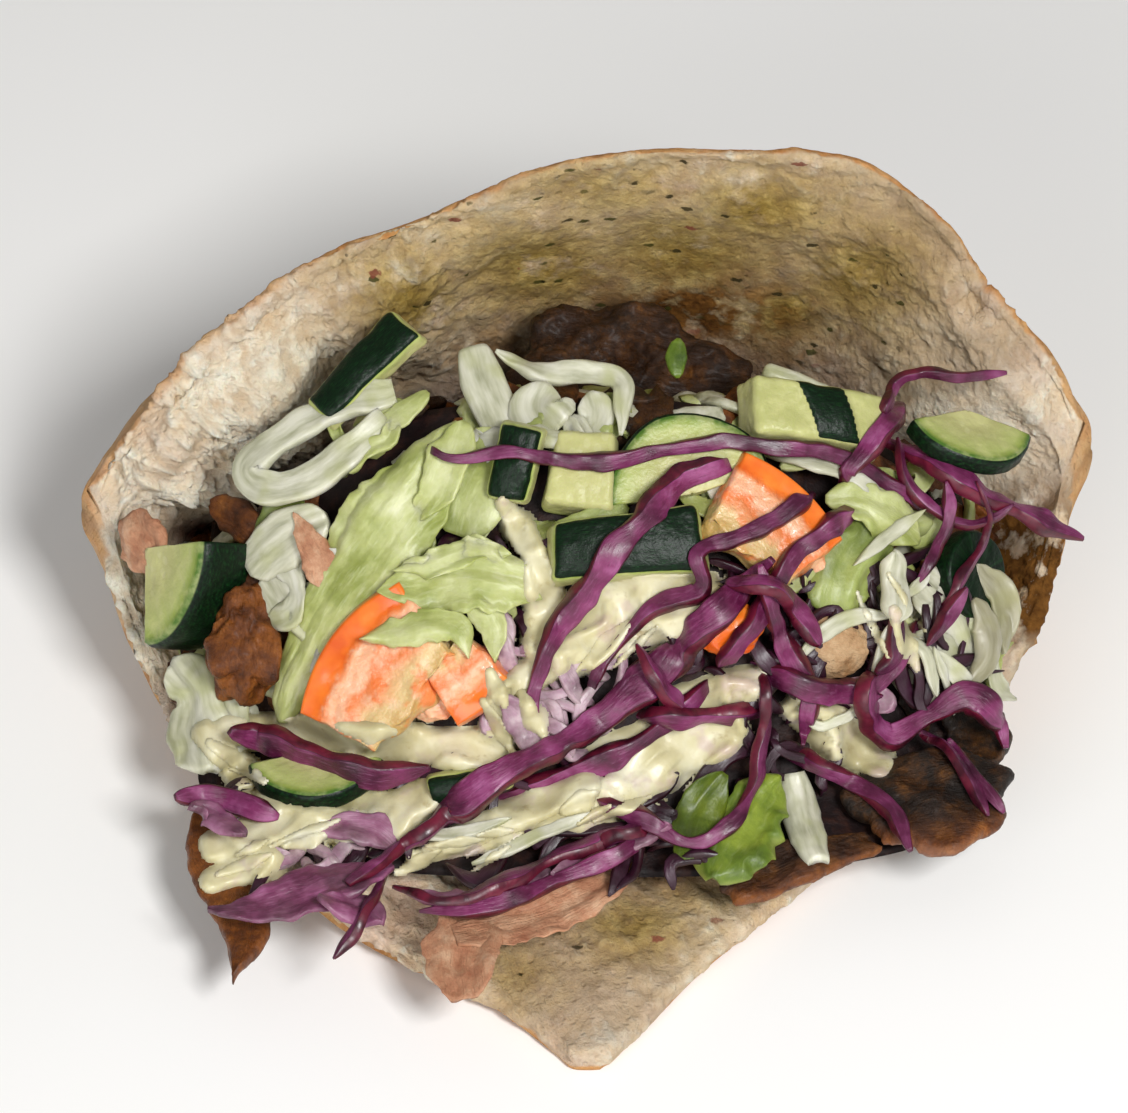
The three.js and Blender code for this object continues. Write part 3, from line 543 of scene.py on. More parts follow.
def bread_finish():
    f = Finish("bread_surface", 0.9, **soft(0.2, 0.8, (1.0, 0.75, 0.5)), Specular_IOR_Level=0.1)
    patchy = f.times(f.value("stain"), f.steps(f.noise(8.0, 5.0, 0.62), 0.15, 0.5))
    # baked crust: toasted brown and golden under flour
    toast = f.ramp(f.noise(9.0, 6.0, 0.62), (0.25, (148, 100, 60)), (0.42, (190, 142, 94)),
                   (0.6, (214, 176, 130)), (0.75, (230, 204, 166)))
    toast = f.tinted(toast, (f.noise(34.0, 3.0), 0.42, 0.62, 0.6, (226, 200, 162)),
                     (f.noise(3.2, 5.0, 0.7), 0.5, 0.68, 1.0, (234, 216, 190)))
    scorched = f.times(f.steps(f.cells(13.0, z=1.4)["Distance"], 0.32, 0.1), 0.5)
    toast = f.mix(scorched, toast, (128, 78, 40))
    edge = f.shaken(f.value("crust"), 0.9, 8.0, 5.0, 0.62)
    rim = f.times(f.steps(edge, 0.3, 0.62), f.steps(edge, 1.4, 1.0))
    colour = f.mix(f.steps(edge, 0.46, 0.7), crumb_colour(f, patchy), toast)
    golden = f.ramp(f.noise(5.0), (0.35, (204, 134, 70)), (0.65, (226, 174, 112)))
    colour = f.mix(f.times(rim, 0.8), colour, golden)
    torn = f.times(f.value("fresh"), f.steps(f.noise(4.0, 4.0), 0.35, 0.6, (0.2, 0.8)))
    colour = f.mix(f.times(torn, f.steps(edge, 0.4, 0.6)), colour, (238, 212, 180))
    f.bump(f.noise(0.8, 5.0, 0.75), 0.7)
    f.bump(f.noise(2.6, 6.0, 0.7), 1.0)
    f.bump(f.steps(f.cells(2.3, y=1.5)["Distance"], 0.1, 0.34), 0.4, 0.6)
    return f.done(colour, f.steps(patchy, 0.2, 0.9, (0.9, 0.6)))


def cabbage_finish():
    f = Finish("red_cabbage", 0.45, **soft(0.15, 1.0, (0.9, 0.3, 0.6)), **coat(0.12, 0.25))
    fibres, edge = f.fibres(1.0, 4.0, 0.6), f.value("edge")
    face = f.ramp(f.noise(8.0, 4.0), (0.3, (58, 10, 36)), (0.44, (90, 22, 60)), (0.58, (124, 44, 92)),
                  (0.74, (162, 88, 136)))
    wine = f.ramp(f.noise(4.0), (0.35, (56, 6, 24)), (0.65, (106, 16, 44)))
    colour = f.tinted(face, (fibres, 0.5, 0.8, 0.35, (172, 112, 150)),
                      (fibres, 0.45, 0.25, 0.45, (62, 14, 44)),
                      (edge, 0.3, 0.55, 1.0, (52, 8, 32)), (edge, 0.6, 0.85, 1.0, wine),
                      # dark: near-black for the shreds put in the gaps as painted shade; narrow shreds get a
                      # little of it
                      (f.value("dark"), 0.0, 1.0, 1.0, (26, 8, 16)))
    milk = f.times(f.value("milky"), f.steps(f.noise(4.0, 3.0), 0.25, 0.75, (0.3, 1.0)))
    colour = f.mix(milk, colour, f.ramp(f.noise(2.5, 3.0), (0.3, (184, 154, 168)), (0.7, (220, 206, 206))))
    f.bump(fibres, 0.2)
    return f.done(colour, f.steps(f.noise(2.0), 0.3, 0.7, (0.32, 0.5)))


def white_finish():
    f = Finish("onion_and_white_cabbage", 0.42, **soft(0.5, 3.0, (0.95, 0.95, 0.75)), **coat(0.06, 0.2))
    lines = f.fibres(2.5, 3.0, 0.5)
    colour = f.ramp(lines, (0.3, (158, 158, 130)), (0.48, (189, 188, 164)), (0.7, (213, 211, 193)))
    colour = f.tinted(colour, (f.noise(8.0, 2.0), 0.48, 0.7, 0.7, (170, 172, 122)),
                      # painted shade: darker in the low places of the waves
                      (f.value("valley_shade"), 0.0, 1.0, 0.35, (150, 150, 104)),
                      # dark: painted shade on the onion layers that lie in shade
                      (f.value("dark"), 0.0, 1.0, 1.0, (112, 98, 62)))
    f.bump(lines, 0.16)
    f.bump(f.noise(2.5, 3.0), 0.15)
    return f.done(colour)


def cucumber_finish():
    f = Finish("cucumber", 0.34, **soft(0.3, 2.5, (0.7, 0.9, 0.4)), Specular_IOR_Level=0.2)
    share, peel, seeds = f.value("share"), f.value("skin"), f.cells(2.4, y=0.6)["Distance"]
    flesh = f.ramp(share, (0.0, (200, 196, 138)), (0.3, (192, 190, 130)), (0.45, (176, 174, 116)),
                   (0.84, (172, 180, 108)), (0.94, (140, 156, 74)), (1.0, (72, 104, 40)))
    flesh = f.tinted(flesh, (f.noise(3.0, 4.0), 0.4, 0.7, 0.4, (204, 202, 144)))
    seen = f.times(f.steps(seeds, 0.34, 0.24), f.times(f.steps(share, 0.66, 0.4), 0.35))
    flesh = f.mix(seen, flesh, (206, 204, 156))
    skin = f.ramp(f.fibres(1.0, 4.0, 0.6, lot=False), (0.3, (4, 12, 6)), (0.5, (8, 26, 11)),
                  (0.66, (15, 50, 20)), (0.8, (54, 96, 42)))
    f.bump(f.noise(1.2, 4.0), 0.18)
    f.bump(seeds, 0.12, 0.4)
    return f.done(f.tinted(flesh, (peel, 0.35, 0.6, 1.0, skin)), f.steps(peel, 0.3, 0.7, (0.3, 0.38)))


def tomato_finish():
    f = Finish("tomato", 0.28, **soft(0.3, 2.0, (1.0, 0.5, 0.25)), **coat(0.3, 0.1))
    inward = f.shaken(f.value("inward"), 0.25, 5.0, 4.0)
    flesh = f.ramp(inward, (0.26, (232, 124, 58)), (0.34, (234, 166, 122)), (0.5, (236, 178, 140)),
                   (0.6, (224, 124, 66)), (0.7, (228, 154, 106)), (0.82, (216, 186, 132)),
                   (1.0, (196, 160, 96)))
    skin = f.ramp(f.noise(6.0, 3.0), (0.3, (216, 90, 20)), (0.6, (238, 122, 34)), (0.8, (244, 146, 60)))
    colour = f.tinted(flesh, (f.noise(6.5, 3.0), 0.5, 0.6, 0.75, (230, 118, 54)),
                      (f.noise(2.2, 4.0), 0.5, 0.72, 0.4, (240, 206, 176)), (inward, 0.28, 0.22, 1.0, skin))
    wet = f.steps(inward, 0.2, 0.34)
    f.bump(f.times(f.noise(0.9, 4.0), wet), 0.25)
    f.bump(f.times(f.noise(3.5, 4.0), wet), 0.8, 0.7)
    return f.done(colour)


def meat_finish():
    f = Finish("roast_meat", 0.6, **soft(0.04, 1.5, (1.0, 0.3, 0.2)), **coat(0.06, 0.3),
               Specular_IOR_Level=0.35)
    grain, lumps = f.fibres(1.0, 6.0, 0.68), f.noise(4.5, 6.0, 0.68)
    dark = f.ramp(lumps, (0.3, (14, 8, 4)), (0.48, (32, 19, 8)), (0.6, (68, 40, 13)), (0.74, (114, 72, 28)))
    brown = f.ramp(lumps, (0.3, (56, 26, 6)), (0.46, (100, 52, 14)), (0.6, (134, 76, 24)),
                   (0.76, (170, 110, 54)))
    pink = f.ramp(lumps, (0.3, (168, 108, 78)), (0.5, (198, 144, 110)), (0.7, (224, 184, 150)))
    doneness = f.shaken(f.value("done"), 0.3, 9.0, 4.0)
    colour = f.tinted(pink, (doneness, 0.05, 0.5, 1.0, brown), (doneness, 0.5, 0.95, 1.0, dark))
    colour = f.mix(f.value("tan"), colour, f.ramp(lumps, (0.3, (166, 128, 84)), (0.7, (214, 184, 142))))
    colour = f.tinted(colour, (grain, 0.6, 0.8, 0.3, (206, 160, 120)), (grain, 0.4, 0.2, 0.55, (34, 20, 12)))
    f.bump(grain, 0.5)
    f.bump(f.noise(0.8, 4.0, 0.7), 0.3)
    return f.done(colour, f.steps(f.noise(1.6, 3.0), 0.35, 0.7, (0.36, 0.7)))


def lettuce_finish():
    f = Finish("lettuce", 0.46, **soft(0.4, 2.2, (0.85, 1.0, 0.4)), **coat(0.1, 0.25))
    veins, threads, blotches = f.fibres(1.4, 4.0, 0.6), f.fibres(0.5, 2.0, 0.5), f.noise(9.0, 4.0)
    pale = f.ramp(blotches, (0.32, (142, 151, 76)), (0.48, (170, 176, 108)), (0.62, (188, 192, 137)),
                  (0.76, (210, 212, 170)))
    green = f.ramp(blotches, (0.32, (46, 70, 6)), (0.48, (84, 108, 10)), (0.64, (128, 146, 32)))
    colour = f.tinted(pale, (f.value("green"), 0.0, 1.0, 1.0, green))
    paleness = f.maths("SUBTRACT", 1.0, f.times(f.value("green"), 0.8))
    for lines, low, high, over in ((veins, 0.5, 0.72, (226, 229, 192)),
                                   (threads, 0.58, 0.74, (148, 160, 82))):
        colour = f.mix(f.times(f.steps(lines, low, high, (0.0, 0.22)), paleness), colour, over)
    # painted shade: darker in the low places of the waves
    colour = f.tinted(colour, (f.value("valley_shade"), 0.0, 1.0, 0.5, (146, 156, 76)),
                      (f.value("rib"), 0.35, 0.9, 1.0, (216, 220, 184)),
                      # dark: painted shade on the leaves that lie in shade, darker green
                      (f.value("dark"), 0.0, 1.0, 1.0, (58, 62, 18)))
    f.bump(veins, 0.12)
    f.bump(f.noise(1.6, 4.0), 0.2)
    return f.done(colour)


def sauce_finish():
    f = Finish("cream_sauce", 0.4, **soft(0.4, 2.5, (1.0, 0.9, 0.6)), **coat(0.14, 0.2))
    colour = f.ramp(f.noise(9.0, 3.0, 0.5), (0.3, (184, 174, 130)), (0.5, (206, 198, 158)),
                    (0.7, (227, 222, 194)))
    for share, over in ((f.times(f.steps(f.noise(7.0, 3.0), 0.56, 0.72), 0.45), (190, 160, 168)),
                        (f.times(f.steps(f.noise(4.0, 4.0, 0.6), 0.4, 0.26), 0.7), (172, 156, 112))):
        colour = f.mix(share, colour, over)
    f.bump(f.noise(3.0, 3.0), 0.2)
    return f.done(colour)


def core_finish():
    # near-black: the body shows only in the gaps between the toppings, and is painted dark as the shade there
    # (painted shade)
    f = Finish("filling_in_painted_shade", 0.6, Specular_IOR_Level=0.25)
    lumps = f.noise(4.0, 5.0, 0.65)
    colour = f.ramp(lumps, (0.3, (14, 9, 9)), (0.5, (28, 15, 15)), (0.64, (48, 26, 20)),
                    (0.78, (74, 50, 28)))
    f.bump(lumps, 0.6)
    return f.done(colour)


FINISHES = dict(bread=bread_finish(), salad=cabbage_finish(), onion=white_finish(),
                cucumber=cucumber_finish(), tomato=tomato_finish(), meat=meat_finish(),
                lettuce=lettuce_finish(), sauce=sauce_finish(), core=core_finish())

# ------------------------------------------------------------------ bread

LOWER_EDGE = Route([
    [-84.5, 24, 31], [-82, 16, 24.5], [-77, 7, 18], [-68, -9, 13], [-56, -28, 10], [-42, -43, 8.5],
    [-18, -57, 7], [-5, -69, 6.5], [1, -74, 6.5], [7, -68, 6.5], [21, -50, 7], [48, -23, 9],
    [72, 4, 16], [82, 18, 26], [86, 32, 37],
])
UPPER_EDGE = Route([
    [-84.5, 28, 36], [-79, 31, 46], [-70.5, 34, 58], [-59.5, 38.5, 68], [-45, 44, 78], [-20, 47, 89],
    [2, 50, 97], [26, 50, 99], [48, 51, 94], [63, 47, 82], [73, 43, 67], [81, 40, 55], [86, 37, 44],
])
FOLD = Route([
    [-85.5, 27, 34], [-67, 43, 29], [-38, 59, 23], [0, 66, 20], [38, 61, 23], [67, 47, 31], [87, 36, 40],
])
POINT = LOWER_EDGE.at(0.5)
BREAD_SHIFT = np.array([MOUTH_ORIGIN[0], MOUTH_ORIGIN[1], 0.0])
EDGE_LENGTH = 260.0
TEARS = [(5.0, 0.79, 0.84, 0.86, 0.84), (1.5, 0.9, 0.86, 0.83, 0.85)]  # depth, then from and to at each side
RIM = np.linspace(0, 1, 13)[1:-1]  # steps across a rim, from crumb to crust
MARKS = dict(  # soft round spots on the crumb: a, b, reach across, reach up and strength
    stain=[(-8, 60, 26, 13, 1.0), (18, 62, 28, 13, 1.0), (36, 52, 14, 9, 1.0), (-32, 57, 16, 9, 1.0),
           (-46, 42, 12, 8, 0.6), (9, -58, 15, 8, 0.9), (20, -52, 16, 7, 0.7), (-12, -66, 9, 7, 0.7),
           (-57, 33, 9, 5, 0.3), (4, 73, 26, 9, 0.85), (31, 70, 19, 10, 1.0), (49, 58, 16, 13, 0.95)],
    juice=[(38, 45, 12, 7, 0.7), (20, 52, 22, 7, 1.4), (14, -46, 14, 5, 1.0), (80, 5, 13, 13, 2.2),
           (-14, 46, 20, 5, 0.8), (28, -45, 12, 5, 0.8), (-70, -32, 6, 30, 0.9)],
    # fresh: whiter torn crumb, and painted light on the walls that lie in shade
    fresh=[(-72, 21, 12, 8, 1.0), (-66, 33, 14, 10, 1.0), (-54, 44, 17, 10, 1.0), (-83, 4, 9, 26, 0.9),
           (74, 28, 14, 13, 1.0)],
    # painted shade: the hollow under the tuft and the back under the filling are painted near-black
    dark=[(-62, 15.5, 9, 6.5, 1.2), (-52, 18, 12, 8, 1.2), (-70, 12, 8, 5, 1.1), (12, 42, 30, 5, 0.8)],
    # painted shade: where the wall and the tip lie in shade, the crumb is painted darker
    painted_shade=[(55, 66, 20, 16, 1.0), (64, 42, 8, 12, 0.15), (74, 47, 10, 8, 0.8), (0, -70, 18, 14, 0.8)],
    pressed=[(70, 34, 12, 9, 1.0), (0, -70, 16, 8, 0.6), (6, 64, 40, 16, 1.0)],
    tuft=[(-72, 21, 7, 5, 1.0), (-63, 33, 12, 6, 0.4)],
    pad=[(-58, 40, 16, 13, 1.0), (-70, 26, 9, 9, 0.8), (-40, 52, 16, 9, 0.6), (66, 34, 15, 14, 0.5)],
    hollow=[(-55, 15, 10, 6, 1.0), (-64, 16, 6, 6, 1.0)],
)


def radial(p):
    """Away from the wedge's point, level."""
    away = p - POINT
    away[..., 2] = 0
    return unit(away)


def pocket(u, w):
    """The pocket's inner surface, for every u across and w from the lower edge round to the upper."""
    low, fold, high = (edge.at(u) for edge in (LOWER_EDGE, FOLD, UPPER_EDGE))
    fullness = np.sqrt(np.maximum(0, np.sin(np.pi * u)))[:, None]
    back = radial(fold.copy())

    def floor_at(share, sag):
        p = lerp(low, fold, share)
        p[:, 2:3] = np.maximum(BREAD["floor"], p[:, 2:3] - sag * fullness)
        return p

    def wall_at(share, bulge):
        return lerp(fold, high, share) + back * bulge * fullness

    section = [low, floor_at(0.35, 3), floor_at(0.8, 12), fold, wall_at(0.3, 6), wall_at(0.7, 7), high]
    return catmull(np.stack(section, 1), (w + 1) / 2)


def crustward(inner, u, w):
    """From the pocket's inner surface towards the crust."""
    side = np.abs(2 * u - 1)[:, None] ** 2
    underneath = (1 - smooth(w, -0.45, -0.05))[None, :]
    level = 1 - underneath * 0.85 * (1 - side)
    rise = 0.2 * smooth(w, 0.1, 0.7)[None, :] - underneath * (1 - 0.7 * side)
    away = radial(inner.copy()) * level[..., None]
    away[..., 2] += rise
    return unit(away)


def bread_thickness(u, w):
    edge = np.where(w < 0, BREAD["lower_rim"], BREAD["upper_rim"])
    even = lerp(BREAD["middle"], edge, smooth(np.abs(w), 0.55, 1))[None, :]
    places = np.stack(np.broadcast_arrays(u[:, None] * 12, (w * 2)[None, :], 0.0), -1)
    return even * (1 + 0.1 * uneven(places, 1, 0))


def spots(mouth_points, name):
    """How strongly each point is marked by the spots of that name."""
    a, b = mouth_points[..., 0], mouth_points[..., 1]
    found = np.zeros_like(a)
    for at_a, at_b, wide, high, strength in MARKS[name]:
        near = np.exp(-(((a - at_a) / wide) ** 2) - ((b - at_b) / high) ** 2)
        found = np.maximum(found, strength * near)
    return found


def rows_between(*spans):
    """Rows from span to span: each is an end and how many steps lead to it."""
    rows = [spans[0]]
    for end, steps in spans[1:]:
        rows += list(np.linspace(rows[-1], end, steps + 1)[1:])
    return np.array(rows)


def crumb_relief(p, u, w):
    """How far torn crumb stands up at points of the mouth frame, how deep its creases are, and how raised its
    lumps are; the last two are used for painted shade and painted light on the crumb.
    """
    drift = np.stack([noise(p, 9.0, seed) for seed in (50, 51, 52)], -1)
    warped = p + 3.2 * drift
    rough = 1 - 0.5 * smooth(spots(p, "pressed"), 0.2, 0.9)
    broad = layered(p, (26, 18, 22), 2, 3)
    fluff = layered(warped, (9.0, 7.0, 8.0), 4, 6, 0.62)
    lumps = puffs(warped, 7.5, 3, 5, 0.15)
    wisps = puffs(warped + 1.2 * drift, 2.6, 3, 9, 0.08) - 0.4
    at_left, at_right = smooth(u, 0.5, 0.25), smooth(u, 0.72, 0.9)
    height = 1.8 * broad + rough * ((1.2 + 0.6 * at_left) * fluff + (0.4 + 1.5 * at_left) * (lumps - 0.35))
    height += rough * (0.7 + 0.7 * at_left + 0.3 * at_right) * wisps
    height += BREAD["tuft"] * spots(p, "tuft") * (0.7 + lumps + 0.5 * wisps)
    height += BREAD["pad"] * spots(p, "pad") * (1 - 0.75 * smooth(np.abs(w), 0.72, 0.97))
    hollow = spots(p, "hollow")
    creases = rough * smooth(lumps + 0.2 * wisps, 0.2, 0.02) * (0.3 + 0.5 * at_left)
    raised = 0.5 + 0.5 * np.tanh(0.9 * fluff + 1.4 * (lumps - 0.42) + 1.8 * wisps)
    return height - BREAD["hollow"] * hollow, np.maximum(0.7 * creases, hollow), lerp(0.5, raised, rough)


def bread():
    u = np.linspace(0, 1, 400)
    w = rows_between(-1.0, (-0.7, 54), (0.1, 18), (1.0, 104))
    outer_w = rows_between(1.0, (0.6, 16), (-0.6, 20), (-1.0, 8))
    inner = pocket(u, w)
    away = crustward(inner, u, w)
    # the inner surface bends over towards the crust at the edges, so that the rims are round
    bend = BREAD["bent_up"] * smooth(w, 0.68, 1.0) ** 1.6 + BREAD["bent_down"] * smooth(-w, 0.9, 1.0)
    inner = inner + away * bend[None, :, None]
    shell_in = pocket(u, outer_w)
    shell_away = crustward(shell_in, u, outer_w)
    crust = shell_in + shell_away * bread_thickness(u, outer_w)[..., None]
    blisters = 0.7 * layered(crust, 11, 3, 21) + 0.25 * puffs(crust, 5.0, 2, 23)
    settled = smooth(crust[..., 2], 0.3, 4.0)
    sunk = (BREAD["crust"] + blisters * settled)[..., None] * smooth(crust[..., 2:3], -0.5, 3.0)
    crust = crust - shell_away * sunk
    crust[..., 2] = np.maximum(crust[..., 2], 0)

    def rim(start, end, tangent):
        """Rounded torn edge between two edges."""
        points = lerp(start[:, None], end[:, None], RIM[None, :, None])
        return points + tangent[:, None] * (BREAD["rounding"] * np.sin(np.pi * RIM) ** 0.8)[None, :, None]

    back_up = unit(inner[:, -2] - inner[:, -1])
    back_low = unit(inner[:, 1] - inner[:, 0])
    # the torn outline goes in and out
    line = np.stack([u * EDGE_LENGTH, 0 * u, 0 * u], -1)
    for surface, weights in ((inner, w), (crust, outer_w)):
        for back, side in ((back_up, 1), (back_low, -1)):
            reach = BREAD["wobble"] * (0.4 + layered(line + 50 * side, 26.0, 4, 61))
            reach *= smooth(np.minimum(u, 1 - u), 0, 0.05)
            for depth, first, second, third, fourth in TEARS if side > 0 else []:
                reach += depth * smooth(u, first, second) * smooth(u, third, fourth)
            surface += back[:, None] * (reach[:, None] * smooth(side * weights, 0.75, 1.0)[None])[..., None]
    share = np.broadcast_to(RIM, (len(u), len(RIM)))
    loop = np.concatenate([inner, rim(inner[:, -1], crust[:, 0], -back_up), crust,
                           rim(crust[:, -1], inner[:, 0], -back_low)], 1)
    baked = np.concatenate([np.zeros(inner.shape[:2]), share, np.ones(crust.shape[:2]), (1 - share) ** 3], 1)
    around = np.concatenate([w, np.ones(len(RIM)), outer_w, -np.ones(len(RIM))])
    rows = loop.shape[1]
    points = loop.reshape(-1, 3) + BREAD_SHIFT
    faces = grid_faces(len(u), rows, wrap=True, flip=True)
    seen = to_mouth(points)
    height, creases, raised = crumb_relief(seen, np.repeat(u, rows), np.tile(around, len(u)))
    crumb = 1 - smooth(baked.ravel(), 0.6, 1.0)
    crumb *= np.repeat(smooth(np.minimum(u, 1 - u), 0.0, 0.04), rows) * smooth(points[:, 2], 0.8, 2.5)
    points = swollen(points, faces, height * crumb)
    points[:, 2] = np.maximum(points[:, 2], 0)
    faces = faces.tolist()
    faces.append(list(range(rows)))
    faces.append(list(range(len(points) - 1, len(points) - 1 - rows, -1)))
    marks = {name: spots(seen, name) for name in ("stain", "juice", "fresh", "dark", "painted_shade")}
    # the crease and raised values carry painted shade and painted light into the crumb's colour; the dark and
    # dimmed spots are painted shade, and the fresh spots are partly painted light
    piece = Piece().add(points, faces, crust=baked.ravel(), crease_shade=creases * crumb, raised=raised, **marks)
    piece.make("bread_with_torn_crumb", "bread", "bread", ["bread"], in_mouth=False)


# ------------------------------------------------------------------ kinds of topping, in their own frames


def rounded(points, half, radius):
    """Box points taken to half sizes, with edges of that radius."""
    half = np.asarray(half, float)
    q = points * half
    core = np.clip(q, -(half - radius), half - radius)
    out = q - core
    return core + unit(out) * radius * (np.linalg.norm(out, axis=1, keepdims=True) > 1e-9)


def cucumber_slice(start, end, radius, thick, seed):
    """Part of a slice between two angles in degrees."""
    p, faces = block(72, 26, 8)
    angle = np.radians(lerp(start, end, (p[:, 0] + 1) / 2))
    soft_edge = 1 - 0.06 * np.abs(p[:, 2]) ** 6
    share = 0.02 + 0.98 * ((p[:, 1] + 1) / 2)
    r = radius * share * soft_edge * (1 + 0.015 * np.sin(5 * angle + seed))
    middle = np.radians((start + end) / 2)
    shift = -0.45 * radius * np.array([np.cos(middle), np.sin(middle), 0])
    q = np.stack([r * np.cos(angle), r * np.sin(angle), p[:, 2] * thick / 2], -1)
    q = swollen(q, faces, 0.25 * layered(q, 4.0, 3, seed))
    skin = smooth(share * soft_edge, 0.955, 0.975)
    return q + shift, faces, dict(share=share, skin=skin, along=angle * radius, across=p[:, 2] * thick)


def cucumber_slab(length, width, thick, seed, bow=0.0, skin_on=(0, 0, 1), band=None):
    """A baton or chunk; skin_on is the side that carries the skin, and band its stretch along x."""
    p, faces = block(46, 24, 14)
    q = rounded(p, (length / 2, width / 2, thick / 2), min(1.2, thick / 4))
    facing = np.array(skin_on, float)
    on_side = smooth(p @ facing, 0.9, 0.96)
    if band:
        slanted = p[:, 0] + 0.18 * p[:, 1]
        on_side *= smooth(slanted, band[0], band[0] + 0.05) * smooth(slanted, band[1] + 0.05, band[1])
    depth = (p @ facing + 1) / 2
    q[:, 2] += bow * (1 - p[:, 0] ** 2)
    q[:, 1] *= 1 + 0.1 * np.sin(seed * 2.3) * p[:, 0] - 0.05 * p[:, 2]
    q[:, 0] *= 1 + 0.06 * np.cos(seed * 1.7) * p[:, 1] - 0.04 * p[:, 2]
    crowned = np.cross(facing, [1.0, 0, 0])
    q = q + facing * (0.9 * on_side * (1 - (p @ crowned) ** 2))[:, None]
    q = swollen(q, faces, 0.6 * layered(q, 7.0, 4, seed))
    share = 0.35 + (0.2 if band else 0.65) * depth**2
    return q, faces, dict(share=share, skin=on_side, along=8 * q[:, 1], across=0.6 * q[:, 0])


def slab(length, width, thick, bow):
    """A stick of onion."""
    p, faces = block(40, 20, 12)
    q = rounded(p, (length / 2, width / 2, thick / 2), min(thick * 0.42, 1.4))
    q[:, 2] += bow * (1 - p[:, 0] ** 2)
    q = swollen(q, faces, 0.3 * layered(q, 4.0, 4, 1))
    return q, faces, dict(along=0.5 * q[:, 0], across=3 * q[:, 1], lot=1.0)


def sheet(length, width, thick, ragged=0.12, wave=1.5, seed=1, rings=30, spokes=132, torn=0.05):
    """A thin piece with a ragged outline and waves: share gives each point's place from its middle."""
    share, angle, side, faces = plate(rings, spokes)
    edge = 1 + ragged * (np.sin(3 * angle + seed) + 0.6 * np.sin(7 * angle + 2 * seed)) * share
    rim = np.stack([np.cos(angle) * 3, np.sin(angle) * 3, np.full_like(angle, seed * 7.0)], -1)
    edge += torn * layered(rim, 0.6, 4, seed) * share**3
    x = length / 2 * edge * share * np.cos(angle)
    y = width / 2 * edge * share * np.sin(angle)
    place = np.stack([x, y, np.zeros_like(x)], -1)
    rise = wave * uneven(place, 7, seed) + 0.3 * layered(place + seed, 3.0, 3, seed)
    skin = thick / 2 * np.sqrt(np.maximum(0.02, 1 - share**8))
    return np.stack([x, y, rise + side * skin], -1), faces, dict(along=x, across=y, share=share)


def lump(length, width, thick, rough, seed, detail=28):
    """A knobbly ball, drawn out to three sizes."""
    p, faces = block(detail, detail, detail)
    ball = unit(p)
    swell = 1 + 2.2 * rough * layered(ball, 0.9, 3, seed)
    q = ball * swell[:, None] * (np.array([length, width, thick]) / 2)
    return q, faces, dict(along=q[:, 0], across=q[:, 1])


def flesh(length, width, thick, rough, seed, inward, detail=28):
    """A lump of a tomato's flesh; inward is how far from the skin it comes."""
    points, faces, _ = lump(length, width, thick, rough, seed, detail)
    return points, faces, dict(inward=inward)


def tomato_piece(length, depth, thick, seed):
    """A piece of a tomato's wall, with its skin towards -x."""
    p, faces = block(34, 52, 20)
    inward = (p[:, 0] + 1) / 2
    y = p[:, 1] * length * (1 - 0.25 * inward) / 2 * (1 - 0.05 * p[:, 2] ** 4)
    z = p[:, 2] * thick * (1 - 0.5 * inward) / 2 * (1 - 0.12 * p[:, 1] ** 4)
    bulge = TOMATO_RADIUS - np.sqrt(TOMATO_RADIUS**2 - y**2 - 4 * z**2)
    place = np.stack([y, z, np.zeros_like(y)], -1)
    torn = 0.12 * depth * uneven(place, 6, seed)
    x = lerp(bulge, depth + torn, inward) - depth / 2
    q = np.stack([x, y, z], -1)
    wet = smooth(inward, 0.08, 0.35)
    return swollen(q, faces, wet * (0.9 * layered(q, 5.0, 3, seed))), faces, dict(inward=inward)


# ------------------------------------------------------------------ what lies on what


class Cover:
    """What already lies in the mouth frame, as seen from outside."""

    def __init__(self):
        self.trees = []

    def add(self, points, faces):
        self.trees.append(BVHTree.FromPolygons(np.asarray(points).tolist(), [list(f) for f in faces]))

    def height(self, a, b):
        start, down = Vector((float(a), float(b), FAR)), Vector((0, 0, -1))
        tops = [hit[0].z for hit in (tree.ray_cast(start, down) for tree in self.trees) if hit[0]]
        return max(tops, default=NOTHING)


cover = Cover()


def laid(stations, thick, clear, reach, spread=0.0):
    """Heights of a line's points when it is laid over what lies in its way."""
    wanted = resting_on(stations[:, 0], stations[:, 1]) + stations[:, 2]
    found = np.full(len(stations), NOTHING)
    for da, db in ((0, 0), (spread, 0), (-spread, 0), (0, spread), (0, -spread)) if spread else ((0, 0),):
        found = np.maximum(found, [cover.height(x + da, y + db) for x, y in stations[:, :2]])
    found = np.where(stations[:, 2] < -1.5, NOTHING, found + clear + thick / 2)  # a low lift goes under
    around = np.maximum(found, np.maximum(np.roll(found, 1), np.roll(found, -1)) - 1.2)
    heights = np.maximum(wanted, np.minimum(around, wanted + reach))
    return np.convolve(np.pad(heights, 1, "edge"), [0.25, 0.5, 0.25], "valid")


def along_line(stations, heights, step):
    """Points evenly along a line in the mouth frame, with its directions along, across and out."""
    path = Route(np.column_stack([stations[:, :2], heights]))
    share = np.linspace(0, 1, max(8, int(path.length / step)) + 1)
    middle = path.at(share)
    along = unit(np.gradient(middle, axis=0))
    across = unit(np.cross(along, outward(middle[:, 0], middle[:, 1])))
    return share, share * path.length, middle, along, across, np.cross(across, along)


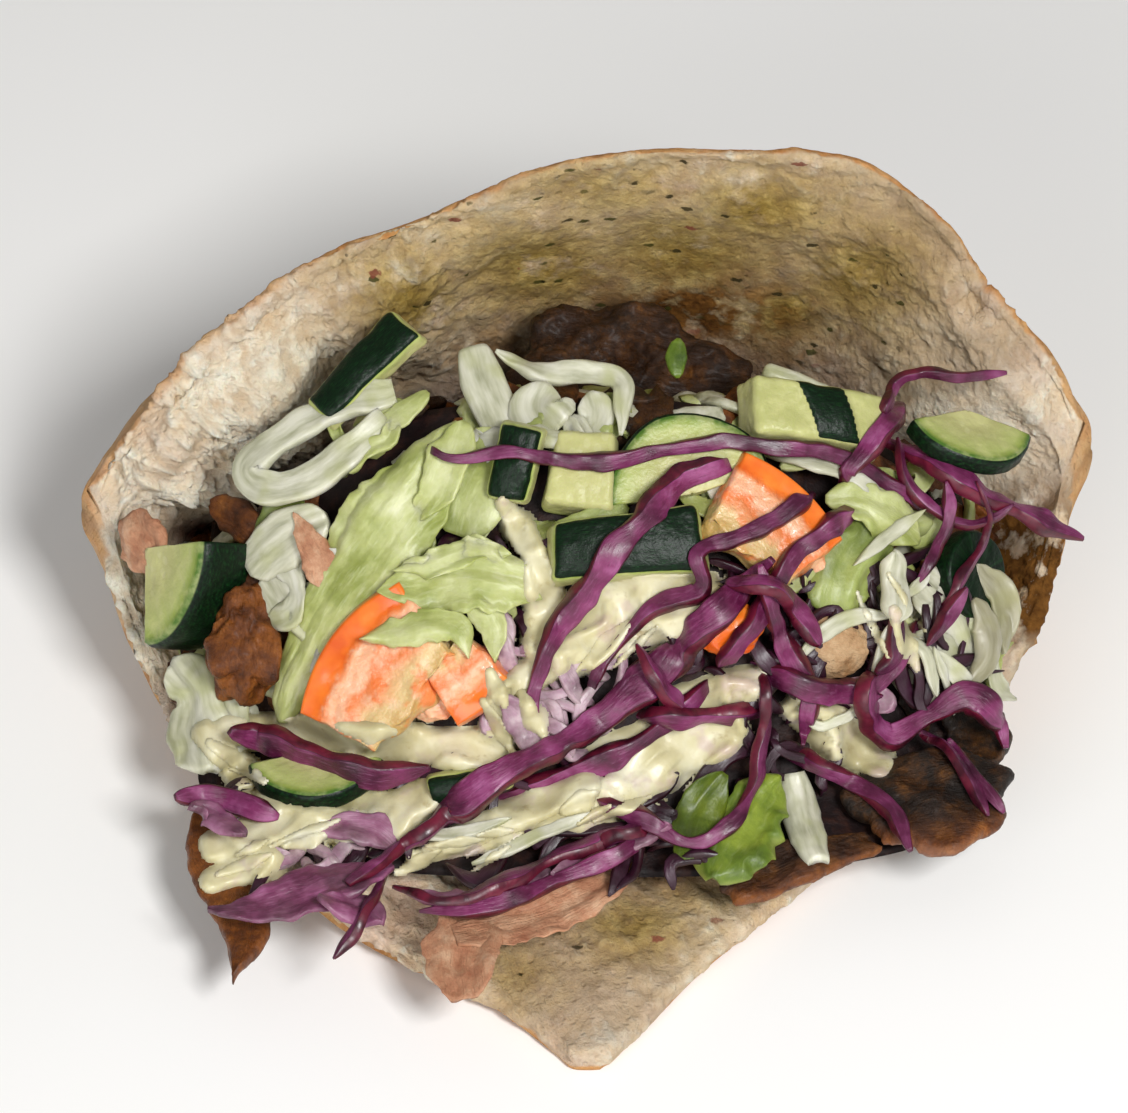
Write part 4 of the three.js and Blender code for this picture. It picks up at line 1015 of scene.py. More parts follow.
def ribbon(route, width, thick, seed, taper=0.75, twist=55.0, step=0.7, sides=16, clear=0.25, wander=0.6,
           blunt=0.5, ruffle=0.35, cup=0.18, reach=9.0, flare=0.5, lean=0.0, **values):
    """A shred along a route of (a, b, lift), draped over what lies in its way; blunt 1 makes it round."""
    planned = Route(route)
    stations = planned.at(np.linspace(0, 1, max(5, int(planned.length / 2.2)) + 1))
    for size, by in ((9.0, wander), (4.0, 0.5 * wander)):
        stations[:, 0] += by * noise(stations + seed, size, seed)
        stations[:, 1] += by * noise(stations + seed, size, seed + 1)
    heights = laid(stations, thick, clear, reach)
    share, travelled, middle, along, across, face = along_line(stations, heights, step)
    line = np.stack([travelled, np.full_like(travelled, seed * 3.7), np.zeros_like(travelled)], -1)
    swing = np.radians(lean + twist * 1.7 * noise(line, 13.0, seed))[:, None]
    across, face = (across * np.cos(swing) + face * np.sin(swing),
                    face * np.cos(swing) - across * np.sin(swing))
    full = 1 + flare * noise(line, 11.0, seed + 5) + 0.2 * noise(line, 4.0, seed + 7)
    full = np.maximum(full, 0.45) * (1 - taper * np.abs(2 * share - 1) ** 5)
    angle = np.linspace(0, 2 * np.pi, sides, endpoint=False)
    cx = np.sign(np.cos(angle)) * np.abs(np.cos(angle)) ** blunt
    cy = np.sign(np.sin(angle)) * np.abs(np.sin(angle)) ** (blunt - 0.1)
    sideways = np.stack(np.broadcast_arrays(travelled[:, None], np.sign(cx)[None] * 20, seed * 3.0), -1)
    frill = ruffle * thick * noise(sideways, 4.0, seed + 9) * np.abs(cx)[None] ** 2
    deep = (cy * thick / 2)[None] * (1 + 0.25 * noise(line, 5.0, seed + 11)[:, None])
    deep = deep + cup * (cx**2 - 0.4)[None] * width * noise(line, 16.0, seed + 13)[:, None]
    rings = middle[:, None] + across[:, None] * (full[:, None] * cx[None] * width / 2)[..., None]
    rings += face[:, None] * (full[:, None] * (deep + frill))[..., None]
    count = len(share)
    faces = grid_faces(count, sides, wrap=True, flip=True).tolist()
    faces += [list(range(sides)), list(range(count * sides - 1, (count - 1) * sides - 1, -1))]
    outer = smooth(np.abs(cx) - np.abs(cy), -0.1, 0.12)
    values = dict(edge=np.tile(outer, count), along=np.repeat(travelled, sides) * 0.35,
                  across=np.tile(cx * width * 0.9, count), lot=float(seed), **values)
    return rings.reshape(-1, 3), faces, values


def leaf(route, widths, seed, thick=0.9, wave=0.8, frill=0.9, folds=0.0, ragged=0.12, step=0.75, cup=0.0,
         over=False, blunt=0.35, columns=26, clear=0.2, rib=0.0, reach=9.0, **values):
    """A thin wavy piece along a route of (a, b, lift), with widths spread evenly along it."""
    planned = Route(route)
    stations = planned.at(np.linspace(0, 1, max(6, int(planned.length / 2.5)) + 1))
    level = resting_on(stations[:, 0], stations[:, 1])
    spread = 0.3 * float(np.mean(widths))
    heights = laid(stations, thick, clear, reach, spread) if over else level + stations[:, 2]
    share, travelled, middle, along, across, face = along_line(stations, heights, step)
    width = np.interp(share, np.linspace(0, 1, len(widths)), widths)
    width = width * (1 - (1 - blunt) * np.abs(2 * share - 1) ** 8)
    t = np.linspace(-1, 1, columns)
    place = np.stack(np.broadcast_arrays(travelled[:, None], t[None] * width[:, None] / 2, seed * 9.0), -1)
    margin = np.stack([place[..., 0], np.sign(place[..., 1]) * 40, place[..., 2]], -1)
    tips = 1 - 2.4 * np.abs(noise(margin, 5.0, seed + 8))  # pointed where the edge is torn
    torn = 1 + ragged * (0.8 * layered(margin, 4.0, 3, seed) + 0.7 * tips - 0.3)
    x = place[..., 1] * torn
    rise = wave * layered(place, (16.0, 7.0, 9.0), 2, seed)
    rise = rise + 0.35 * wave * layered(place, (5.0, 2.6, 5.0), 3, seed + 2) + cup * t[None] ** 2
    rise = rise + frill * np.abs(t[None]) ** 3 * noise(place, (3.4, 30.0, 5.0), seed + 3)
    sharp = np.abs(noise(place, (30.0, 5.0, 9.0), seed + 4))
    rise = rise + folds * (1.6 * sharp - 0.4)
    skin = thick / 2 * np.sqrt(np.maximum(0.06, 1 - np.abs(t[None]) ** 10))
    shape = middle[:, None] + across[:, None] * x[..., None]
    top = shape + face[:, None] * (rise + skin)[..., None]
    bottom = shape + face[:, None] * (rise - skin)[..., None]
    rings = np.concatenate([top, bottom[:, ::-1]], 1)
    count, sides = rings.shape[:2]
    faces = grid_faces(count, sides, wrap=True).tolist()
    faces += [list(range(sides - 1, -1, -1)), list(range((count - 1) * sides, count * sides))]
    ribbed = rib * np.exp(-((t[None] / 0.22) ** 2)) * (1 - 0.6 * share[:, None])
    # valley_shade: how low a point lies in the leaf's waves, used to paint the low places darker (painted shade)
    shades = dict(along=place[..., 0] * 0.3, across=place[..., 1] * 1.6, rib=ribbed,
                  valley_shade=smooth(-(rise - rise.mean()), 0.1, 1.6))
    both_sides = {name: np.concatenate([value, value[:, ::-1]], 1).ravel() for name, value in shades.items()}
    return rings.reshape(-1, 3), faces, dict(**both_sides, lot=float(seed), **values)


def pool(strokes, seed, thick=2.4, cell=0.6, sink=0.5, bridge=14):
    """Sauce poured along strokes, each a list of (a, b, radius): it lies on what is under it."""
    dots = np.array([dot for stroke in strokes for dot in stroke], float)
    lo = dots[:, :2].min(0) - dots[:, 2].max() - 2
    hi = dots[:, :2].max(0) + dots[:, 2].max() + 2
    na, nb = (np.ceil((hi - lo) / cell).astype(int) + 1)
    a, b = np.meshgrid(lo[0] + np.arange(na) * cell, lo[1] + np.arange(nb) * cell, indexing="ij")
    field = np.full(a.shape, -1.0)
    for stroke in strokes:
        for (a0, b0, r0), (a1, b1, r1) in zip(stroke, stroke[1:]):
            run = np.array([a1 - a0, b1 - b0])
            t = np.clip(((a - a0) * run[0] + (b - b0) * run[1]) / max(run @ run, 1e-6), 0, 1)
            far = np.hypot(a - a0 - t * run[0], b - b0 - t * run[1])
            field = np.maximum(field, 1 - far / lerp(r0, r1, t))
    place = np.stack([a, b, np.full_like(a, seed * 5.0)], -1)
    field = field + 0.3 * layered(place, (9.0, 5.0, 5.0), 3, seed)
    wet = field > -0.2
    ground = np.array([cover.height(x, y) for x, y in zip(a[wet], b[wet])])
    level = resting_on(a, b) - HEAP["bed"]
    level[wet] = np.maximum(ground, level[wet] - 4)
    weight = wet.astype(float)
    total, share = level * weight, weight
    for _ in range(bridge):
        for axis in (0, 1):
            total = (np.roll(total, 1, axis) + 2 * total + np.roll(total, -1, axis)) / 4
            share = (np.roll(share, 1, axis) + 2 * share + np.roll(share, -1, axis)) / 4
    even = total / np.maximum(share, 1e-6)
    body = np.sqrt(np.clip(field, 0, 1))
    base = lerp(np.minimum(level, even), lerp(even, np.maximum(even, level), 0.5), smooth(body, 0.0, 0.5))
    top = base - sink + (thick + sink) * smooth(body, 0.0, 0.8)
    top = top + 0.45 * thick * body * layered(place, 7.0, 2, seed + 6)
    low = np.minimum(level, top) - 1.2
    cells = wet[:-1, :-1] & wet[1:, :-1] & wet[1:, 1:] & wet[:-1, 1:]
    ids = np.arange(a.size).reshape(a.shape)
    quads = quads_of(ids)[cells]
    used = np.unique(quads)
    fresh = -np.ones(a.size, int)
    fresh[used] = np.arange(len(used))
    quads = fresh[quads]
    edges = {}  # those with a cell on one side alone, in the order found
    for quad in quads.tolist():
        for pair in zip(quad, quad[1:] + quad[:1]):
            if edges.pop(pair[::-1], None) is None:
                edges[pair] = True
    count = len(used)
    faces = quads.tolist() + (quads[:, ::-1] + count).tolist()
    faces += [[p, p + count, q + count, q] for p, q in edges]
    sides = [np.stack([a.ravel()[used], b.ravel()[used], h.ravel()[used]], -1) for h in (top, low)]
    return np.concatenate(sides), faces, {}


# ------------------------------------------------------------------ body of the filling


def floor_under(points):
    """How high the pocket's floor lies under each point, and far down where it doesn't reach."""
    u, w = np.linspace(0, 1, 120), np.linspace(-1, -0.02, 60)
    surface = pocket(u, w).reshape(-1, 3) + BREAD_SHIFT
    tree = BVHTree.FromPolygons(surface.tolist(), grid_faces(len(u), len(w)).tolist())
    hits = [tree.ray_cast(Vector((x, y, 200)), Vector((0, 0, -1)))[0] for x, y, _ in points]
    return np.array([hit.z if hit else -100.0 for hit in hits])


def heap_core():
    """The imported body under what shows, a little lower than the level that the toppings lie on."""
    p, faces = block(80, 54, 10)
    a = p[:, 0] * (HEAP["half_width"] - 1.5) * (1 - 0.05 * p[:, 1] ** 4)
    front = HEAP["front"] + 9 * np.abs(a / HEAP["half_width"]) ** 3
    back = HEAP["back"] - 14 * (a / HEAP["half_width"]) ** 2 - HEAP["hollow"] * smooth(-a, 35, 62)
    b = lerp(front, back, (p[:, 1] + 1) / 2)
    rounding = 11 * np.abs(p[:, 0]) ** 6 + 3 * np.abs(p[:, 1]) ** 6
    place = np.stack([a, b, np.zeros_like(a)], -1)
    lumps = 1.6 * layered(place, 9, 4, 41) + 1.2 * puffs(place, 6, 3, 43)
    top = resting_on(a, b) - HEAP["bed"] - rounding + lumps
    upper = p[:, 2] > 0.99
    h = np.where(upper, top, top - lerp(HEAP["depth"], 0, (p[:, 2] + 1) / 2))
    points = from_mouth(np.stack([a, b, h], -1))
    points[:, 2] = np.maximum(points[:, 2], HEAP["underside"] + 1.5 + (p[:, 2] + 1))
    inside = np.interp(points[:, 0], FOLD.points[:, 0], FOLD.points[:, 1]) - HEAP["clear_of_fold"]
    points[:, 1] = np.minimum(points[:, 1], inside)
    points[:, 2] = np.maximum(points[:, 2], floor_under(points) + 2.0)
    points = to_mouth(points)
    return swollen(points, faces, np.where(upper, 0.0, 1.4) * layered(points, 8, 3, 44)), faces


def padding(points, faces):
    """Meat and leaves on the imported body's back and sides, which only show from above and from the sides."""
    normals = normals_of(points, faces)
    turned_away = (normals[:, 1] > PADDING["backward"]) | (np.abs(normals[:, 0]) > PADDING["sideways"])
    places = np.flatnonzero(turned_away & (from_mouth(points)[:, 2] > PADDING["above"]))
    rng = np.random.default_rng(PADDING["seed"])
    pieces = dict(meat=Piece(), lettuce=Piece(), onion=Piece())
    for number, place in enumerate(rng.permutation(places)[:PADDING["count"]]):
        kind = ("meat", "meat", "lettuce", "meat", "onion")[number % 5]
        made = sheet(rng.uniform(10, 17), rng.uniform(6, 10), 2.0, rings=5, spokes=18, wave=1.4, torn=0.25,
                     seed=number + 40)
        if kind == "meat":
            made = meat(made, rng.uniform(0.4, 0.95), number, rough=0.7)
        bit, bit_faces, values = made
        normal = normals[place]
        along = unit(np.cross(normal, rng.normal(size=3)))
        basis = np.stack([along, np.cross(normal, along), normal])
        pieces[kind].add(points[place] + (bit + [0, 0, 0.4]) @ basis, bit_faces, **values)
    for kind, piece in pieces.items():
        piece.make(f"packed_{kind}", kind)


# ------------------------------------------------------------------ what lies where, from the bottom up


def placed(made, **spot):
    points, faces, values = made
    return seated(points, **spot), faces, values


def pile(name, finish, parts, slot="salad", nodes=("salad_heap",)):
    """One object of many parts. A generator makes each of them when those before it lie in place."""
    piece = Piece()
    for points, faces, values in parts:
        piece.add(points, faces, **values)
        cover.add(points, faces)
    piece.make(name, finish, slot, nodes)


def topping(node, *parts):
    """One CAD node's piece. The node's first word names its finish, but for cabbage."""
    word = node.split("_")[0]
    kind = dict(red="salad", cabbage="onion").get(word, word)
    pile(f"{node}_finished", kind, parts, kind, [node])


def meat(made, done, seed, rough=1.0, fading=0.0, tan=0.0):
    """Roasts a plain piece. It gets rough, with fibres; fading leaves its lower edge less done."""
    points, faces, values = made
    if fading:
        low = smooth(-points[:, 1], 0, 0.9 * -points[:, 1].min())
        done = done - fading * (0.5 * low + 0.5 * low * smooth(values["share"], 0.85, 1.0))
    grain = np.stack([points[:, 0] * 0.6, points[:, 1], points[:, 2]], -1)
    relief = 0.9 * layered(grain, 5.0, 3, seed) + 0.55 * (puffs(grain, 2.6, 3, seed + 4) - 0.4)
    lines = dict(along=values["along"] * 0.35, across=values["across"] * 2.2, lot=float(seed))
    return swollen(points, faces, rough * relief), faces, dict(**lines, done=done, tan=tan)


def thick_and_dark():
    """Meat, at the bottom of what shows."""
    topping("meat_slab_back", placed(
        meat(sheet(46, 28, 6, wave=2.2, ragged=0.1, seed=2, rings=44, spokes=180), 0.86, 2, rough=1.5),
        a=10, b=50, lift=-25, turn=-4, tip=8))
    topping("meat_slab_front", placed(
        meat(sheet(30, 10, 3, wave=1.0, seed=9), 0.85, 9, fading=0.3), a=37.5, b=-44.5, lift=-3.8, turn=25))
    topping("meat_fold_left", meat(
        leaf([(-82, 14.5, 1), (-79.5, 10, 2), (-76.5, 6, 2.5), (-73.5, 2, 0)], [7.5, 10, 8, 3], 35,
             thick=2.0, wave=1.6, folds=2.0, ragged=0.4, blunt=0.5, columns=40), -0.1, 3, rough=0.7))
    topping("meat_slab_right", placed(
        meat(sheet(29, 24, 5, wave=1.6, ragged=0.1, seed=6, rings=36, spokes=150, torn=0.08), 1.0, 6,
             rough=0.5, fading=0.62), a=62, b=-35, lift=-1, turn=10))
    topping("meat_tip_left", meat(
        leaf([(-68.5, -36.5, -5), (-66, -45, -6), (-61.5, -53, -7), (-60, -58.5, -8), (-62, -67, -9)],
             [5, 10, 13, 8, 1.2], 37, thick=3.0, wave=1.0, folds=0.8, ragged=0.1, blunt=0.2),
        0.5, 7, rough=0.4))
    topping("meat_tan_right", placed(
        meat(lump(14, 11, 7, 0.16, 18), 0.0, 21, rough=0.45, tan=0.8), a=44, b=-8, lift=0, turn=-16))


def leaves():
    topping("lettuce_leaf_back",
            leaf([(-15, 30, 0.5), (-18.5, 23.5, 1), (-21, 17.5, 1), (-23, 11.5, 0)], [9, 13, 15, 11], 5,
                 frill=1.6, green=0.25, folds=0.5))
    topping("lettuce_long_left",
            leaf([(-55, -22, 1), (-52.5, -14, 1.5), (-49, -7, 2), (-44, 1, 3), (-38, 9.5, 4),
                  (-31.5, 18.5, 4.5), (-26.5, 25.5, 4), (-22.5, 31.5, 4)], [8, 9, 10, 14, 18, 17, 12, 6], 4,
                 wave=1.5, frill=1.8, folds=1.5, cup=-1.8, ragged=0.14, columns=60, rib=0.4),
            leaf([(-30, 14, 4), (-26, 20, 5.5), (-23.5, 26, 6), (-21, 31.5, 5)], [3, 7, 8, 4], 44, wave=1.0,
                 frill=1.6, folds=1.2, ragged=0.3))
    topping("lettuce_leaf_right",
            leaf([(54, 14, 2), (51, 10, 3), (48, 6, 3), (46, 1, 3), (46.5, -4, 2)], [9, 13, 13, 12, 7], 6,
                 frill=2.0, green=0.6, dark=0.15, folds=1.6, ragged=0.3, cup=-1.0),
            leaf([(43, 18, 3), (49, 17.5, 4.5), (55, 14.5, 4.5), (60, 10, 3)], [4, 8, 9, 4], 56, frill=2.4,
                 green=0.1, folds=1.6, ragged=0.38, over=True))
    topping("lettuce_leaf_front",
            leaf([(35, -31.5, 2), (31, -37, 3.5), (26.5, -43, 3.5), (22.5, -49, 2)], [6, 12, 15, 9], 7,
                 frill=2.4, green=0.85, folds=2.0, cup=-2.0, ragged=0.36, wave=1.8, columns=40),
            leaf([(25, -31, 2), (21.5, -36, 3), (19, -42, 3), (18.5, -46, 2)], [4, 8, 8, 5], 47, frill=2.2,
                 green=1.0, folds=1.6, ragged=0.3, dark=0.45))


def whites():
    topping("onion_piece_back",
            leaf([(-20, 45, 0), (-18.5, 39.5, 0), (-16.5, 35, 0), (-14.5, 30, 0)], [6, 8, 8, 7], 11,
                 thick=1.8, frill=0.2, wave=0.5, cup=-0.5, ragged=0.05, blunt=0.9))
    topping("cabbage_flake_back",
            leaf([(-6.5, 38.5, 0), (-8.5, 34.5, 1), (-5, 30, 1)], [5, 10, 12], 12, frill=1.6, wave=1.4,
                 blunt=0.25, folds=1.0, ragged=0.25),
            leaf([(1, 37, 0), (2, 33.5, 0), (1, 29.5, 0)], [4, 7, 7], 13, frill=1.0, folds=0.8, ragged=0.2))
    topping("onion_layer_left",
            leaf([(-74, -11.5, 0), (-69.5, -17.5, 1), (-69, -24.5, 1.5), (-67, -31.5, 0)], [9, 12, 12, 8],
                 14, thick=1.8, frill=1.2, wave=1.8, folds=1.6, ragged=0.2),
            leaf([(-66, -12, 0), (-64, -20, 0.5), (-63, -28, 0)], [5, 8, 5], 34, thick=1.2, frill=1.0,
                 wave=1.2, folds=1.2, ragged=0.25))
    topping("onion_layer_middle",
            leaf([(-60, 5, 1), (-54, 10.5, 2), (-46, 14.5, 2)], [8, 11, 7], 15, thick=1.8, frill=0.8,
                 folds=0.7),
            leaf([(-57, 4, 0), (-54.5, 0, 0.6), (-51, -4, 0)], [7, 9, 6], 16, thick=1.6, frill=0.6,
                 folds=0.5))
    topping("onion_layer_right",
            leaf([(60, 4, 1), (66, -1.5, 1), (70, -10, 0)], [9, 11, 7], 17, thick=1.6, frill=1.2, wave=1.4,
                 folds=2.2, ragged=0.25),
            leaf([(70, 6, 1), (74.5, 1.5, 1.5), (76.5, -4, 1), (75.5, -10, 0)], [2.5, 5.5, 5, 1.8], 18,
                 thick=1.2, frill=1.6, wave=1.4, folds=2.8, ragged=0.4, over=True, dark=0.45, blunt=0.1),
            leaf([(70, 0, 1), (72.5, -5, 2), (72, -11, 1.5), (69, -15, 0)], [3, 6, 5, 3], 19, thick=1.4,
                 frill=0.8, folds=2.0, ragged=0.3, over=True, dark=0.5))


def green_and_firm():
    for name, made, spot in (
            ("quarter_left", cucumber_slice(270, 360, 18, 12, 2), dict(a=-71, b=3.5, roll=-22)),
            ("stub_middle", cucumber_slab(14, 8, 5, 3, 0.6), dict(a=-12, b=23.5, lift=3, turn=76, roll=-14)),
            ("half_middle", cucumber_slice(20, 190, 15, 4, 4), dict(a=17, b=24.5, lift=1.5, tip=6)),
            ("wedge_middle", cucumber_slab(14.5, 12, 7, 5, 0.6, skin_on=(0, 0, -1)),
             dict(a=-0.5, b=22.5, turn=84)),
            ("baton_middle", cucumber_slab(27.5, 11.5, 7, 6, 1), dict(a=7.3, b=9, lift=3, turn=6)),
            ("half_back", cucumber_slab(26, 11, 8, 7, 1, band=(-0.25, 0.4)),
             dict(a=40.5, b=31.5, lift=2, turn=-3)),
            ("slice_right", cucumber_slice(190, 330, 13, 4, 8),
             dict(a=66.5, b=27, lift=6, turn=8, tip=-30))):
        topping(f"cucumber_{name}", placed(made, **spot))
    points, faces, values = cucumber_slice(0, 359, 8, 4, 11)
    values["skin"] = np.maximum(values["skin"], smooth(points[:, 2], 0.6, 1.2))  # its face is skin too
    topping("cucumber_round_right", placed((points, faces, values), a=66.5, b=4.5, lift=1, roll=18))


def tomatoes():
    for name, made, spot in (
            ("wedge_left", tomato_piece(31, 21, 11, 1), dict(a=-36, b=-12, lift=2, turn=-38, roll=-12)),
            ("dice_left", tomato_piece(13, 14, 9, 9), dict(a=-20.5, b=-13.5, lift=2.5, turn=128, roll=-10)),
            ("wedge_right", tomato_piece(24, 18, 11, 4), dict(a=32, b=13, lift=2.5, turn=-130, roll=-16)),
            ("dice_right", flesh(13, 10, 8, 0.1, 7, 0.2), dict(a=25, b=-5, lift=2.5))):
        topping(f"tomato_{name}", placed(made, **spot))
    pile("tomato_flesh", "tomato", [
        placed(flesh(across, up, 5, 0.25, seed, inward, 18), a=a, b=b, lift=1, turn=10)
        for a, b, across, up, inward, seed in ((39, 8, 9, 8, 0.5, 31), (-36, -20.5, 12, 5, 0.9, 32),
                                               (-26, -19, 8, 5, 0.5, 33))])


def on_top():
    topping("meat_lump_left", placed(
        meat(lump(20, 14, 11, 0.3, 3), 0.5, 13, rough=1.1), a=-60.5, b=-8, lift=1.5, turn=98))
    topping("meat_strip_middle", meat(
        leaf([(-52, 15.5, 3.5), (-49.5, 10.5, 3.8), (-47, 6.5, 3), (-46, 2, 1.5)], [1.2, 3.6, 6.4, 4.5], 36,
             thick=1.6, wave=1.2, folds=1.6, ragged=0.45, blunt=0.1, columns=40), -0.1, 14, rough=0.6))
    topping("meat_slice_front",
            meat(leaf([(-21.5, -55.5, -2), (-21.5, -60, -2.5), (-21.5, -65, -3), (-21, -69.5, -3.5)],
                      [12, 14, 12, 7], 38, wave=1.6, ragged=0.2, folds=1.4, blunt=0.7, columns=40),
                 0.12, 15, rough=0.6),
            meat(leaf([(-23, -59, -1.6), (-15, -57.5, -2), (-6, -55, -2.5), (2, -51.5, -2.5), (9, -47, -3)],
                      [7, 9, 8.5, 7, 4], 5, wave=1.4, ragged=0.25, folds=1.4, blunt=0.7, columns=40),
                 0.15, 16, rough=0.6))
    topping("onion_fold_back",
            ribbon([(-34, 37, 0), (-42, 35, 1), (-50, 31.5, 2), (-57, 26.8, 3), (-60.5, 22.6, 3.5),
                    (-56.5, 19.6, 4), (-49.5, 21, 3.5), (-44.5, 24.6, 3), (-40, 28.5, 2), (-35.5, 32, 0)],
                   6.2, 2.4, 21, twist=30, taper=0.2, sides=24, clear=-3, wander=0.3, cup=0.2, ruffle=0.25,
                   flare=0.2))
    topping("cucumber_baton_back", placed(
        cucumber_slab(23, 8, 3.6, 1, 0.6), a=-39.5, b=41, lift=0, turn=45, roll=4))
    topping("onion_piece_front",
            leaf([(37.5, -31, -1), (38.5, -37, -1), (40, -42.5, -1), (41.5, -46.5, -1)], [5, 7, 6.6, 4.5],
                 22, thick=1.8, frill=0.4, wave=0.9, cup=-1, ragged=0.12, blunt=0.85, folds=0.6))
    topping("lettuce_chip_middle",
            leaf([(-6, 12.5, 3), (-1, 13, 3), (3.5, 14.5, 3), (7.5, 16.5, 2)], [3, 5, 6, 3], 23, frill=1.0,
                 green=0.45))
    curly = dict(over=True, thick=0.7, blunt=0.1)
    topping("lettuce_curl_middle",
            leaf([(-37, 1.5, 4), (-30, 2.5, 5), (-22, 4, 5.5), (-14, 3, 5), (-7.5, 0, 3)], [3, 9, 13, 11, 3],
                 24, frill=3.4, wave=1.8, folds=2.6, ragged=0.5, columns=40, **curly),
            leaf([(-34, 5, 5), (-28, 6, 6), (-20, 8.5, 6), (-13, 8, 5)], [1, 5, 6, 2], 27, frill=2.8,
                 wave=1.6, folds=2.0, ragged=0.55, green=0.15, **curly),
            leaf([(-40, -7, 6), (-33.5, -6, 7), (-26.5, -4.5, 7), (-22.5, -5.5, 6), (-20.5, -10.5, 5)],
                 [0.8, 5, 6, 5, 1], 25, frill=2.0, ragged=0.4, folds=1.6, **curly),
            leaf([(-20, 0, 5), (-16.5, -4.5, 4.5), (-16, -11, 4)], [5, 5, 0.8], 26, frill=1.6, ragged=0.4,
                 folds=1.4, **curly))


SAUCES = dict(  # strokes of sauce, each a run of (a, b, radius)
    pool_middle=[[(-8, -8, 4), (2.5, -4, 7), (9.5, -2, 7.5), (20, 0, 6)],
                 [(-14.5, 17, 1.6), (-11.5, 12.5, 3.4), (-9, 8, 2.6), (-8, 3, 3.6), (-6, -4, 5)],
                 [(-15, -19, 3), (-10, -14, 3.6), (-5, -11, 2.6)]],
    pool_front=[[(-8, -38, 4), (-2, -36, 6), (6, -31, 7.5), (13, -27.5, 7), (24, -23, 5.5)],
                [(16, -18, 3), (22, -17, 4), (30, -15, 3.5)]],
    pool_left=[[(-64, -24, 3), (-55, -24, 4), (-44, -25, 4), (-38, -26, 4.2), (-29, -26.5, 4.4),
                (-16, -27, 4.4)],
               [(-68, -24, 2.5), (-62.5, -30.5, 3.5), (-56, -37, 3.5)]],
    drip_corner=[[(-66, -44, 3), (-60, -42, 5), (-54, -37, 6), (-46.5, -38, 6.5), (-34, -38.5, 5.5),
                  (-26, -34, 3)],
                 [(-66, -50, 2.5), (-57, -46.5, 4)],
                 [(-30, -46, 2), (-20, -42, 3.5), (-9.5, -37, 3.5), (0, -33, 3)]],
    pool_right=[[(38, -20, 3), (45.5, -24, 5.5), (52, -28, 4.5)]],
)
SMEARS = [  # a, b, reach across, reach up, heading in degrees and how many
    (-50, -44, 12, 4, 14, 4), (-24, -43, 10, 4, 26, 5), (0, -37, 10, 3, 24, 3), (-12, -17, 4, 6, -66, 3),
    (12, -8, 10, 4, 30, 2), (56, -3, 5, 6, -60, 3), (-60, -28, 4, 4, -40, 2),
]


def sauces():
    for seed, (name, strokes) in enumerate(SAUCES.items(), 1):
        topping(f"sauce_{name}", pool(strokes, seed))


def over_the_sauce():
    topping("cucumber_slice_front", placed(
        cucumber_slice(195, 345, 12.5, 4, 9), a=-47.6, b=-34, lift=3.6, tip=-14))
    topping("cucumber_rind_front", placed(cucumber_slab(15, 5.5, 4, 10), a=-20, b=-32.3, lift=3.0, turn=14))


def smears():
    """Sauce that ran over the shreds in thin streaks."""
    rng = np.random.default_rng(11)
    piece = Piece()
    for a, b, reach_a, reach_b, heading, count in SMEARS:
        for _ in range(count):
            at = np.array([a + reach_a * rng.uniform(-1, 1), b + reach_b * rng.uniform(-1, 1)])
            way = np.radians(heading + rng.normal(0, 10))
            half = 0.5 * rng.uniform(6, 13) * np.array([np.cos(way), np.sin(way)])
            wide = rng.uniform(0.9, 2.6)
            stroke = [(*(at - half), 0.5 * wide), (*(at + 0.2 * half), wide), (*(at + half), 0.4 * wide)]
            points, faces, _ = pool([stroke], rng.integers(1, 99), thick=0.9, cell=0.45, sink=0.4, bridge=4)
            piece.add(points, faces)
    piece.make("sauce_smears", "sauce", "sauce")


